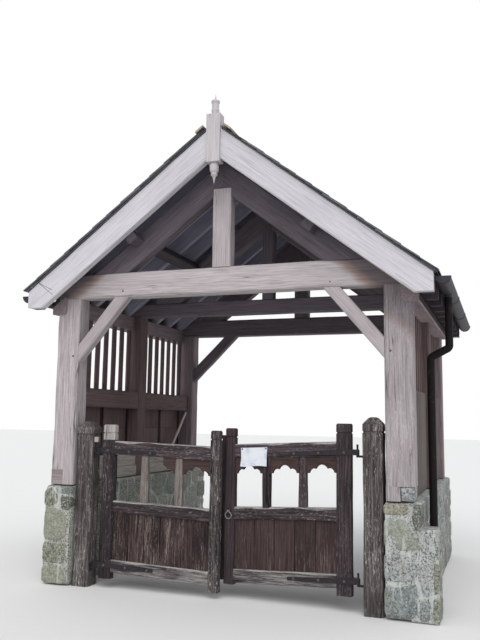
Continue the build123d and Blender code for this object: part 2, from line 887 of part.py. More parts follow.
save(make_wall(-1), "left_wall")
save(make_wall(1), "right_wall")
save(make_post(-1, 0), "front_left_post")
save(make_post(1, 0, cut_foot=True), "front_right_post")
save(make_post_pair(1), "middle_posts")
save(make_post_pair(2), "rear_posts")
save(make_wall_plates(), "wall_plates")
save(make_tie(0), "front_tie_beam")
save(make_tie(1), "middle_tie_beam")
save(make_tie(2), "rear_tie_beam")
save(make_king_posts(), "king_posts")
save(make_braces(0, front_brace_foot, front_brace_foot_height, front_brace_reach,
                 front_brace_head_width), "front_knee_braces")
save(make_braces(2, rear_brace_foot, rear_brace_foot_height, rear_brace_reach,
                 rear_brace_head_width), "rear_knee_braces")
save(make_principal_rafters(-1), "left_principal_rafters")
save(make_principal_rafters(1), "right_principal_rafters")
save(make_purlins_and_ridge(), "purlins_and_ridge")
save(make_common_rafters(), "common_rafters")
save(make_roof_boards(), "roof_boards")
save(make_slates(-1), "left_slates")
save(make_slates(1), "right_slates")
save(make_ridge_tiles(), "ridge_tiles")
save(make_barge_boards(-1), "front_barge_boards")
save(make_barge_boards(1), "rear_barge_boards")
save(make_finials(), "finials")
save(make_gutters(), "gutters")
save(make_downpipe(), "downpipe")
save(make_screen_rails(), "screen_rails")
save(make_screen_boards(), "screen_boards")
save(make_screen_slats(), "screen_slats")
save(make_gate_post(-1, left_gate_post_height), "left_gate_post")
save(make_gate_post(1, right_gate_post_height), "right_gate_post")
save(make_hooks(), "gate_hooks")

save(make_stiles(left_leaf), "left_gate_stiles")
save(make_rails(left_leaf), "left_gate_rails")
save(make_muntins(left_leaf), "left_gate_muntins")
save(make_heads(left_leaf, indices=(2,), broken=(1,)), "left_gate_heads")
save(make_panel(left_leaf), "left_gate_boards")
save(make_ironwork(left_leaf), "left_gate_straps")

for piece, name in (
        (make_stiles(right_leaf, rotted_foot_loss), "right_gate_stiles"),
        (make_rails(right_leaf), "right_gate_rails"),
        (make_muntins(right_leaf), "right_gate_muntins"),
        (make_heads(right_leaf, indices=(0, 1, 2)), "right_gate_heads"),
        (make_panel(right_leaf), "right_gate_boards"),
        (make_ironwork(right_leaf, latch=True), "right_gate_straps"),
        (make_ring_handle(right_leaf), "ring_handle")):
    save(swing(piece, 1, right_leaf_ajar), name)
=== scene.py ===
"""The looks of a timber lychgate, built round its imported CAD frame.

Metres, in the frame of the CAD model: X across the passage, Y from the front
gable to the back one, Z up from the ground.
"""
import math
import random

import bmesh
import bpy
from mathutils import Matrix, Vector, noise


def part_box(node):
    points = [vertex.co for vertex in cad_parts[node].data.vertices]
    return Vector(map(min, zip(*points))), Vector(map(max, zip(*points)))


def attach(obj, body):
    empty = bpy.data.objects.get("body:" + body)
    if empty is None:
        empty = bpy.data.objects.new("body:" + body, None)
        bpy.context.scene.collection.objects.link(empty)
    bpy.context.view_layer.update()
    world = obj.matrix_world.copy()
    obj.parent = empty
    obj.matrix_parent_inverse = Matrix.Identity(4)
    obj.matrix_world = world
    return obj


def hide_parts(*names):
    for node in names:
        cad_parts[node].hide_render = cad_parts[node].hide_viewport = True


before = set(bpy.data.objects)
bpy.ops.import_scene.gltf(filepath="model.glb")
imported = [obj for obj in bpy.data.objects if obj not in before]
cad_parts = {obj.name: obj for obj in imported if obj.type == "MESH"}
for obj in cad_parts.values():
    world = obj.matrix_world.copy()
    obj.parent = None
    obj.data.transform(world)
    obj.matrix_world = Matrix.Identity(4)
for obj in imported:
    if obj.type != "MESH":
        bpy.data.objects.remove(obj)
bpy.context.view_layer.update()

# noise_vector goes by the clock unless it is seeded
noise.seed_set(3)

# Roof geometry, as in the CAD model
RIDGE_Z = 3.760
PITCH = math.radians(37.58)
EAVES_X = 1.696
EAVES_CUT_Z = 2.312
BARGE_DEPTH = 0.253             # plumb
BOARDS_DROP = 0.022
COMMONS_DROP = 0.167
PRINCIPAL_DROP = 0.190
KING_TOP = 3.279
KING_WIDTHS = {"front_tie_beam": 0.158, "middle_tie_beam": 0.110, "rear_tie_beam": 0.158}
RIDGE_BOARD_Z = 3.505
RIDGE_BOARD_TOP = 3.72
PURLIN_X = 0.8005
RAFTER_COUNT = 10
SHAFT_HALF = 0.0585             # of the finials
BARGE_BACK = 1.468
PLATE_INNER = 1.441
PLATE_OUTER = 1.576

# Slates and ridge tiles: beds are heights square to the slope, over the roof line
SLATE_GAUGE = 0.165
SLATE_LENGTH = 0.38
SLATE_WIDTH = 0.255
SLATE_THICKNESS = 0.0065
SLATE_BED = 0.009
SLATE_TILT = 0.0125
SLATE_GAP = 0.0015
SLATE_CORNER = 0.008
SLATE_HEAD = 0.085
EAVES_OVERHANG = 0.024
TILE_COUNT = 7
TILE_LEG = 0.165
TILE_THICKNESS = 0.015
TILE_BED = 0.0302
TILE_JOINT = 0.003

# Dwarf walls and side screens, as in the CAD model
WALL_INNER = 1.290
WALL_OUTER = 1.570
WALL_TOP = 0.820
FOOTING_TOP = 0.640
FOOTING_RUN = 0.275
POST_CUT = 0.105                # height cut off the outer half of the right post
MIDDLE_POST_INNER = 1.363
REAR_POST_INNER = 1.313
SCREEN_INNER = 1.363
SCREEN_OUTER = 1.463
SLAT_GAUGE = 0.150
SLAT_LOW, SLAT_HIGH = 1.650, 2.275
SILL_Z = 0.871                  # middles of the screens' level members
LEDGE_Z = 0.978
RAIL_Z = 1.565
BOARD_TIERS = ((0.820, 1.285), (1.288, 1.640))

# Gate leaves, as in the CAD model
HINGE_X = 1.097
HINGE_Y = -1.255
LEAF_EDGE_X = 1.055
LEAF_FRONT = -1.285
LEAF_THICKNESS = 0.060
LEAF_FOOT = 0.080
HANGING_STILE = 0.115
MEETING_STILE = 0.084
MUNTIN = 0.066
LEAF_RAILS = ((1.085, 1.197), (0.613, 0.708), (0.130, 0.233))
MUNTIN_LOW, MUNTIN_HIGH = 0.700, 1.092
BOARDS_LOW, BOARDS_HIGH = 0.225, 0.622
BOLT_HEIGHTS = (1.115, 0.186)
BOLT_PLACES = (0.054, 0.254, 0.450)
LEAVES = {
    "left": {"side": -1, "width": 1.061, "lift": 0.0, "fall": 0.0285, "ajar": 0.0},
    "right": {"side": 1, "width": 1.037, "lift": 0.042, "fall": 0.050, "ajar": 4.5},
}

# Shades of stone, picked by a stone's tone
SHADES = [(0.245, 0.27, 0.262), (0.25, 0.255, 0.195), (0.325, 0.33, 0.27),
          (0.32, 0.295, 0.225), (0.37, 0.385, 0.38), (0.15, 0.148, 0.125)]
COARSENESS = (0.75, 0.85, 0.5, 0.7, 1.0, 0.9)
SHADE = {name: i / (len(SHADES) - 1)
         for i, name in enumerate(("blue", "green", "pale", "ochre", "rough", "dark"))}

SIDES = (-1, 1)
TIES = ("front_tie_beam", "middle_tie_beam", "rear_tie_beam")
UP = Vector((0, 0, 1))
ALONG = Vector((0, 1, 0))
ACROSS = Vector((1, 0, 0))
WHITE = (1, 1, 1)


# Places on the roof and in the CAD model

def roof_z(x, drop=0.0):
    """Height of a line under the roof line at x, the drop being square to the slope."""
    return RIDGE_Z - math.tan(PITCH) * abs(x) - drop / math.cos(PITCH)


def roof_point(side, distance, y, height):
    """A point a distance down one slope from the ridge, and a height square to it."""
    return Vector((side * (distance * math.cos(PITCH) + height * math.sin(PITCH)), y,
                   RIDGE_Z - distance * math.sin(PITCH) + height * math.cos(PITCH)))


def down_slope(side):
    return Vector((side * math.cos(PITCH), 0, -math.sin(PITCH)))


def off_slope(side):
    return Vector((side * math.sin(PITCH), 0, math.cos(PITCH)))


def corners(node):
    """The low and the high corner of a CAD node's box."""
    return [Vector(corner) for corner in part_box(node)]


def box_middle(node):
    """The middle and the size of a CAD node's box, and its corners."""
    low, high = corners(node)
    return (low + high) / 2, high - low, low, high


# Meshes

class Piece:
    """A mesh under construction, with the coordinates that its material reads.

    grain holds metres along a member and across it; tone is a shade that one
    member or stone keeps all over."""

    def __init__(self, name, seed):
        self.name = name
        self.rng = random.Random(seed)
        self.verts = []
        self.faces = []
        self.grain = []
        self.tone = []

    def drift(self, reach=50):
        """A random place to read noise from."""
        return Vector([self.rng.uniform(-reach, reach) for _ in range(3)])

    def take(self, bm, member=None, tone=None, place=None):
        """Add a bmesh. member maps grain coordinates to it, place puts it where it belongs."""
        base = len(self.verts)
        to_grain = member.inverted() if member else Matrix()
        offset = self.drift(20)
        tone = self.rng.random() if tone is None else tone
        bm.verts.index_update()
        for vert in bm.verts:
            self.grain.append(to_grain @ vert.co + offset)
            self.tone.append(tone)
            self.verts.append(place @ vert.co if place else vert.co.copy())
        for face in bm.faces:
            self.faces.append([base + vert.index for vert in face.verts])
        bm.free()

    def build(self, material, *replaces, body="frame", smooth=40, slot=None):
        mesh = bpy.data.meshes.new(self.name)
        mesh.from_pydata(self.verts, [], self.faces)
        grain = mesh.attributes.new("grain", "FLOAT_VECTOR", "POINT")
        grain.data.foreach_set("vector", [c for v in self.grain for c in v])
        tone = mesh.attributes.new("tone", "FLOAT", "POINT")
        tone.data.foreach_set("value", self.tone)
        mesh.materials.append(material)
        mesh.shade_smooth()
        mesh.set_sharp_from_angle(angle=math.radians(smooth))
        mesh.update()
        piece = bpy.data.objects.new(self.name, mesh)
        bpy.context.scene.collection.objects.link(piece)
        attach(piece, body)
        if replaces:
            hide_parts(*replaces)


def basis(start, end, across):
    """A matrix whose X runs from start to end and whose Y is nearest to across."""
    x = (end - start).normalized()
    z = x.cross(across).normalized()
    matrix = Matrix((x, z.cross(x), z)).transposed().to_4x4()
    matrix.translation = start
    return matrix


def skin(bm, rings):
    """Faces between each ring of points and the next one."""
    for low, high in zip(rings, rings[1:]):
        for i in range(len(low)):
            j = (i + 1) % len(low)
            bm.faces.new((low[i], low[j], high[j], high[i]))


def beam(piece, start, end, across, width, depth, cuts=(), bevel=0.005, wear=0.6, warp=0.0015,
         profile=(), step=0.12, tone=None, place=None):
    """A timber from start to end along its middle line, its arrises worn unevenly.

    width lies along across. cuts are planes (point, outward normal). profile adds
    rows (distance from the start, inset) for grooves and shaped ends."""
    start, end = Vector(start), Vector(end)
    matrix = basis(start, end, Vector(across))
    length = (end - start).length
    seed = piece.drift()
    count = max(2, round(length / step))
    rows = {round(length * i / count, 5): 0.0 for i in range(count + 1)}
    if profile:
        first = min(d for d, _ in profile) - 0.01
        rows = {d: inset for d, inset in rows.items() if d < first}
        rows.update((round(d, 5), inset) for d, inset in profile)
    bm = bmesh.new()
    rings = []
    for distance in sorted(rows):
        inset = rows[distance]
        drift = noise.noise_vector(seed + Vector((distance * 0.9, 0, 0))) * warp
        half_w, half_d = width / 2 - inset, depth / 2 - inset
        ring = []
        for corner, (sy, sz) in enumerate(((1, 1), (-1, 1), (-1, -1), (1, -1))):
            rough = noise.noise(seed + Vector((distance * 5, corner * 7.3, 0)))
            c = max(0.0008, bevel * (1 + wear * 2 * rough))
            points = [(sy * half_w, sz * (half_d - c)), (sy * (half_w - c), sz * half_d)]
            if sy * sz < 0:
                points.reverse()
            ring += [bm.verts.new(matrix @ Vector((distance, y + drift.y, z + drift.z)))
                     for y, z in points]
        rings.append(ring)
    skin(bm, rings)
    bm.faces.new(reversed(rings[0]))
    bm.faces.new(rings[-1])
    for point, normal in cuts:
        geometry = bm.verts[:] + bm.edges[:] + bm.faces[:]
        bmesh.ops.bisect_plane(bm, geom=geometry, plane_co=Vector(point),
                               plane_no=Vector(normal), clear_outer=True)
        rim = [edge for edge in bm.edges if edge.is_boundary]
        if rim:
            bmesh.ops.contextual_create(bm, geom=rim)
    bmesh.ops.recalc_face_normals(bm, faces=bm.faces)
    piece.take(bm, matrix, tone, place)


def upright(piece, x, y, low, high, width, depth, across=ACROSS, **options):
    """A standing timber: x and y are its middle, width lies along across."""
    beam(piece, (x, y, low), (x, y, high), across, width, depth, **options)


def lengthwise(piece, x, z, start, end, width, depth, **options):
    """A level timber that runs back from the front gable: x and z are its middle."""
    beam(piece, (x, start, z), (x, end, z), ACROSS, width, depth, **options)


def slope_beam(piece, side, y, drop, height, width, inner, outer, cuts=(), **options):
    """A timber that runs down one slope of the roof."""
    spare = 0.25                # cut off again at both ends
    middle = drop + height / 2
    head = inner - spare
    a = Vector((side * head, y, roof_z(0, middle) - math.tan(PITCH) * head))
    b = Vector((side * (outer + spare), y, roof_z(outer + spare, middle)))
    ends = [((side * inner, 0, 0), (-side, 0, 0)), ((side * outer, 0, 0), (side, 0, 0))]
    beam(piece, a, b, UP, height, width, cuts=[*ends, *cuts], **options)


def block(piece, low, high, roundness=8, rough=0.006, skew=0.006, tone=None,
          steps=(-1, -0.86, -0.45, 0.45, 0.86, 1)):
    """A rough stone that fills a box, with worn corners."""
    low, high = Vector(low), Vector(high)
    middle, half = (low + high) / 2, (high - low) / 2
    seed = piece.drift()
    bm = bmesh.new()
    found = {}

    def corner(p):
        if p not in found:
            size = sum(abs(c) ** roundness for c in p) ** (1 / roundness)
            q = Vector(p) / size
            lump = noise.noise_vector(seed + q * 1.3) * skew
            grit = noise.noise(seed + Vector([q[i] * half[i] * 14 for i in range(3)])) * rough
            spot = Vector([q[i] * half[i] for i in range(3)])
            found[p] = bm.verts.new(middle + spot + lump + q.normalized() * (grit - rough * 0.6))
        return found[p]

    for axis in range(3):
        for sign in SIDES:
            for a0, a1 in zip(steps, steps[1:]):
                for b0, b1 in zip(steps, steps[1:]):
                    quad = []
                    for a, b in ((a0, b0), (a1, b0), (a1, b1), (a0, b1)):
                        p = [0, 0, 0]
                        p[axis] = sign
                        p[(axis + 1) % 3] = a
                        p[(axis + 2) % 3] = b
                        quad.append(corner(tuple(p)))
                    bm.faces.new(quad if sign > 0 else reversed(quad))
    piece.take(bm, None, tone)


def dome(piece, centre, normal, radius, height, sides=10, place=None):
    """A nail, bolt or peg head."""
    normal = Vector(normal).normalized()
    matrix = basis(Vector(centre), Vector(centre) + normal,
                   UP if abs(normal.z) < 0.9 else ACROSS)
    bm = bmesh.new()
    rings = []
    for distance, share in ((-0.004, 1.0), (height * 0.45, 0.92), (height * 0.85, 0.6)):
        rings.append([bm.verts.new(matrix @ Vector((
            distance, math.cos(math.tau * i / sides) * radius * share,
            math.sin(math.tau * i / sides) * radius * share))) for i in range(sides)])
    skin(bm, rings)
    bm.faces.new(rings[-1])
    bm.faces.new(reversed(rings[0]))
    piece.take(bm, matrix, 0.5, place)


# Materials

class Graph:
    """Shader nodes under construction."""

    def __init__(self, tree):
        self.nodes, self.links = tree.nodes, tree.links

    def fill(self, node, inputs):
        """Link or set a node's inputs."""
        for key, value in dict(inputs).items():
            if isinstance(value, bpy.types.NodeSocket):
                self.links.new(value, node.inputs[key])
            else:
                node.inputs[key].default_value = value

    def node(self, kind, inputs=(), **settings):
        node = self.nodes.new(kind)
        for key, value in settings.items():
            setattr(node, key, value)
        self.fill(node, inputs)
        return node

    def math(self, operation, *values, clamp=False):
        return self.node("ShaderNodeMath", enumerate(values), operation=operation,
                         use_clamp=clamp).outputs[0]

    def times(self, a, b):
        return self.math("MULTIPLY", a, b)

    def times_plus(self, a, b, c):
        """a times b, plus c."""
        return self.math("MULTIPLY_ADD", a, b, c)

    def minus(self, a, b):
        return self.math("SUBTRACT", a, b)

    def absolute(self, a):
        return self.math("ABSOLUTE", a)

    def place(self):
        return self.node("ShaderNodeTexCoord").outputs["Object"]

    def part(self, vector, axis):
        """One coordinate of a vector: 0, 1 or 2."""
        return self.node("ShaderNodeSeparateXYZ", {0: vector}).outputs[axis]

    def facing(self, axis):
        """One coordinate of the direction that a surface looks in."""
        return self.part(self.node("ShaderNodeNewGeometry").outputs["Normal"], axis)

    def grain(self):
        return self.node("ShaderNodeAttribute", attribute_name="grain").outputs["Vector"]

    def tone(self):
        return self.node("ShaderNodeAttribute", attribute_name="tone").outputs["Fac"]

    def noise(self, vector, scale=1.0, detail=6.0, roughness=0.6, distortion=0.0):
        """Noise of one scale, or stretched by three."""
        if isinstance(scale, tuple):
            vector = self.node("ShaderNodeMapping", {"Vector": vector, "Scale": scale}).outputs[0]
            scale = 1.0
        return self.node("ShaderNodeTexNoise", {
            "Vector": vector, "Scale": scale, "Detail": detail, "Roughness": roughness,
            "Distortion": distortion}).outputs["Fac"]

    def ramp(self, value, *stops):
        """stops are (position, colour) or (position, level)."""
        node = self.node("ShaderNodeValToRGB", {"Fac": value})
        ramp = node.color_ramp
        while len(ramp.elements) < len(stops):
            ramp.elements.new(0.5)
        for element, (position, colour) in zip(ramp.elements, stops):
            element.position = position
            if isinstance(colour, (int, float)):
                colour = (colour, colour, colour)
            element.color = (*colour, 1)
        return node.outputs["Color"]

    def mix(self, factor, a, b, blend="MIX"):
        colours = {key: (*value, 1) if isinstance(value, tuple) else value
                   for key, value in ((6, a), (7, b))}
        return self.node("ShaderNodeMix", {0: factor, **colours}, data_type="RGBA",
                         blend_type=blend).outputs[2]

    def shaded(self, colour, shade):
        return self.mix(1.0, colour, shade, "MULTIPLY")

    def spotted(self, colour, field, start, end, amount, spots):
        """A colour that gives way to another where a field passes from start to end."""
        return self.mix(self.ramp(field, (start, 0.0), (end, amount)), colour, spots)

    def bump(self, height, strength, distance):
        return self.node("ShaderNodeBump", {"Height": height, "Strength": strength,
                                            "Distance": distance}).outputs[0]


class Finish(Graph):
    """A procedural material."""

    def __init__(self, name):
        self.material = bpy.data.materials.new(name)
        self.material.use_nodes = True
        super().__init__(self.material.node_tree)

    def finish(self, colour, roughness, normal=None, specular=0.4):
        inputs = {"Base Color": colour, "Roughness": roughness, "Metallic": 0.0,
                  "Specular IOR Level": specular}
        if normal:
            inputs["Normal"] = normal
        self.fill(self.nodes["Principled BSDF"], inputs)
        return self.material


# pale of weathered upper sides, with a painted highlight
LEDGE_WEAR_HIGHLIGHT_GREY = (0.43, 0.42, 0.39)
LICHEN = (0.34, 0.36, 0.27)
STAIN_AND_SHADE_TOP = 3.37                # height under the ridge of the eaves' brown stain and painted shade
STAIN_AND_SHADE_SHIFT = 0.07              # how far the stain and painted shade lie to the left


def eaves_stain_and_shade(t, colour, place, patches, amount, reach):
    """Brown stain, and a painted shade of the barge and roof, where the roof shelters the front."""
    spot = t.node("ShaderNodeSeparateXYZ", {0: place}).outputs
    out = t.absolute(t.math("ADD", spot[0], STAIN_AND_SHADE_SHIFT))
    under = t.times_plus(out, math.tan(PITCH), spot[2])
    under = t.times_plus(patches, 0.12, t.minus(under, STAIN_AND_SHADE_TOP - reach))
    shade = t.ramp(under, (0.04, WHITE), (0.1, (0.66, 0.54, 0.46)), (0.16, (0.36, 0.33, 0.35)))
    return t.mix(amount, colour, t.shaded(colour, shade))


def painted_tail_shade(t, colour, place, sides_only):
    """Painted shade under the eaves, where the roof's timbers pass outside the walls."""
    out = t.absolute(t.part(place, 0))
    if sides_only:
        out = t.times(out, t.absolute(t.facing(0)))
    shade = t.ramp(t.minus(out, 1.0), (0.46, WHITE), (0.52, (0.2, 0.17, 0.16)))
    return t.shaded(colour, shade)


def timber(name, light, middle, dark, bleach=(0.5, 0.47, 0.42), bleached=0.0, checks=0.5,
           spread=0.25, relief=0.5, lichen=0.0, ledge=0.0, fleck=0.0, low=0.0, eaves=0.0,
           reach=0.0, tails="", axis=None):
    """Weathered oak. bleached pales its faces in streaks, fleck in small spots, ledge its
    upper sides (wear, with a painted highlight), and low keeps the paling near the ground.
    eaves browns what the roof shelters and paints its shade there, reach metres further
    down. tails paints the shade under the eaves on what lies outside the walls: all of it,
    or its sides alone. axis is None where a mesh has its own grain."""
    t = Finish(name)
    place = t.place()
    if axis is None:
        grain, tone = t.grain(), t.tone()
    else:
        turn = {"z": (0, math.pi / 2, 0), "x": (0, 0, 0)}[axis]
        grain = t.node("ShaderNodeMapping", {"Vector": place, "Rotation": turn}).outputs[0]
        tone = 0.5
    # the fibres wander up to 50 mm sideways
    wander = t.noise(grain, (0.9, 4, 4), 3)
    offset = t.node("ShaderNodeVectorMath", {0: grain, 1: (0, 0.05, 0.05)}, operation="ADD")
    along = t.node("ShaderNodeMix", {0: wander, 4: grain, 5: offset.outputs[0]},
                   data_type="VECTOR").outputs[1]
    fibre = t.noise(along, (3.2, 90, 90), 8, 0.72)
    fine = t.noise(along, (12, 330, 330), 3, 0.7)
    patches = t.noise(grain, (1.6, 7, 7))
    streaks = t.noise(along, (5, 100, 100), 7, 0.8)
    colour = t.ramp(fibre, (0.3, dark), (0.5, middle), (0.7, light))
    shade = t.times_plus(patches, 2.6 * spread, 1 - 1.3 * spread)
    shade = t.times_plus(t.minus(tone, 0.5), spread * 1.2, shade)
    colour = t.shaded(colour, t.ramp(shade, (0, 0.0), (1, 1.0)))
    if bleached:
        weather = t.times_plus(patches, 0.35, t.times(streaks, 0.65))
        if low:
            weather = t.times_plus(t.part(place, 2), -low, t.math("ADD", weather, 0.4 * low))
        edge = 0.56 - 0.09 * bleached
        mask = t.ramp(weather, (edge, 0.0), (edge + 0.12, 1.0))
        colour = t.mix(t.times(mask, 0.5 + 0.5 * bleached), colour, bleach)
    if fleck:
        spots = t.noise(grain, (28, 90, 90), 5, 0.75)
        mask = t.times(t.ramp(spots, (0.56, 0.0), (0.63, 1.0)),
                       t.ramp(patches, (0.42, 0.15), (0.6, 1.0)))
        colour = t.mix(t.times(mask, fleck), colour, bleach)
    if ledge:
        # upward faces paled: partly weathering, partly a painted highlight where the sky lights
        # them
        worn = t.times(t.ramp(t.facing(2), (0.25, 0.0), (0.6, 1.0)),
                       t.ramp(streaks, (0.40, 0.15), (0.56, 1.0)))
        colour = t.mix(t.times(worn, ledge), colour, LEDGE_WEAR_HIGHLIGHT_GREY)
    if lichen:
        crust = t.times(t.noise(place, 42, 5, 0.7), t.noise(place, 3.5, 3))
        colour = t.mix(t.times(t.ramp(crust, (0.31, 0.0), (0.35, 1.0)), lichen), colour, LICHEN)
    # eaves paints the shade under the barge, together with a brown stain
    if eaves:
        colour = eaves_stain_and_shade(t, colour, place, patches, eaves, reach)
    # tails paints the shade that falls under the eaves
    if tails:
        colour = painted_tail_shade(t, colour, place, tails == "sides")
    split = t.absolute(t.minus(t.noise(along, (0.55, 14, 14), 3, 0.5), 0.5))
    where = t.noise(grain, (1.6, 4, 4), 2)
    crack = t.times(t.ramp(split, (0.0, 1.0), (0.011, 0.0)), t.ramp(where, (0.5, 0.0), (0.6, 1.0)))
    crack = t.math("MULTIPLY", crack, checks, clamp=True)
    colour = t.mix(crack, colour, tuple(c * 0.3 for c in dark))
    height = t.times_plus(fibre, 0.7, t.times(fine, 0.5))
    height = t.times_plus(crack, -1.2, t.times_plus(streaks, 0.5, height))
    return t.finish(colour, 0.86, t.bump(height, relief, 0.004), specular=0.2)


def masonry(name, shades, hue=WHITE, coarseness=COARSENESS, lime=0.7, edge=0.58):
    """Weathered limestone with smears of lime mortar. hue tints every shade."""
    t = Finish(name)
    grain, tone, place = t.grain(), t.tone(), t.place()
    blotch = t.noise(grain, 9, 7, 0.65)
    grit = t.noise(grain, 75, 6, 0.78)
    tinted = [tuple(a * b for a, b in zip(shade, hue)) for shade in shades]
    colour = t.ramp(tone, *((i / (len(tinted) - 1), shade) for i, shade in enumerate(tinted)))
    coarse = t.ramp(tone, *((i / 5, level) for i, level in enumerate(coarseness)))
    light = t.times_plus(blotch, 2.4, -0.2)
    colour = t.shaded(colour, t.ramp(light, (0, 0.25), (1, 1.05)))
    pits = t.times(t.ramp(grit, (0.41, 1.0), (0.5, 0.0)), coarse)
    colour = t.mix(pits, colour, (0.06, 0.06, 0.055))
    grains = t.times(t.ramp(grit, (0.53, 0.0), (0.62, 0.8)), coarse)
    colour = t.mix(grains, colour, (0.56, 0.57, 0.54))
    stain = t.noise(place, 6, 6, 0.7)
    colour = t.spotted(colour, stain, 0.54, 0.66, 0.4, (0.12, 0.125, 0.1))
    ochre = t.noise(place, 7.3, 5)
    colour = t.spotted(colour, ochre, 0.6, 0.68, 0.4, (0.35, 0.31, 0.17))
    runs = t.noise(place, (16, 16, 3.5), 7, 0.7, 0.3)
    colour = t.spotted(colour, runs, edge, edge + 0.07, lime, (0.56, 0.58, 0.55))
    height = t.times_plus(blotch, 1.6, grit)
    return t.finish(colour, 0.93, t.bump(height, 0.8, 0.008), specular=0.15)


def slate_material():
    t = Finish("slate")
    riven = t.noise(t.grain(), (10, 22, 22))
    colour = t.ramp(t.tone(), (0.0, (0.085, 0.09, 0.105)), (0.5, (0.13, 0.135, 0.15)),
                    (1.0, (0.19, 0.185, 0.19)))
    colour = t.shaded(colour, t.ramp(riven, (0.3, 0.7), (0.7, 1.0)))
    spots = t.noise(t.place(), 22, 6, 0.75)
    colour = t.spotted(colour, spots, 0.6, 0.66, 0.55, (0.38, 0.37, 0.27))
    return t.finish(colour, 0.62, t.bump(riven, 0.5, 0.003))


def clay_material():
    t = Finish("ridge_clay")
    place = t.place()
    colour = t.ramp(t.tone(), (0.0, (0.33, 0.265, 0.2)), (1.0, (0.46, 0.39, 0.31)))
    grit = t.noise(place, 70, 5, 0.7)
    colour = t.mix(t.ramp(grit, (0.4, 0.5), (0.55, 0.0)), colour, (0.17, 0.15, 0.125))
    spots = t.noise(place, 16, 6, 0.75)
    colour = t.spotted(colour, spots, 0.56, 0.63, 0.7, (0.46, 0.46, 0.38))
    return t.finish(colour, 0.85, t.bump(grit, 0.5, 0.002))


def painted_iron(name, thin, thick, specular=0.22):
    """Old black paint over iron, rusting where it has worn."""
    t = Finish(name)
    place = t.place()
    pits = t.noise(place, 60, 5, 0.7)
    rust = t.ramp(t.noise(place, 14, 6, 0.7), (0.58, 0.0), (0.68, 0.6))
    colour = t.mix(rust, t.ramp(pits, (0.3, thick), (0.7, thin)), (0.07, 0.04, 0.027))
    rough = t.times_plus(rust, 0.25, 0.62)
    return t.finish(colour, rough, t.bump(pits, 0.35, 0.002), specular=specular)


def paper_material():
    t = Finish("paper")
    # bluish, with darker blue-grey mottling: painted crease shade on a flat sheet
    colour = t.ramp(t.noise(t.place(), 12, 3), (0.38, (0.56, 0.59, 0.68)),
                    (0.46, (0.67, 0.7, 0.75)), (0.6, (0.73, 0.76, 0.79)))
    return t.finish(colour, 0.7, specular=0.2)
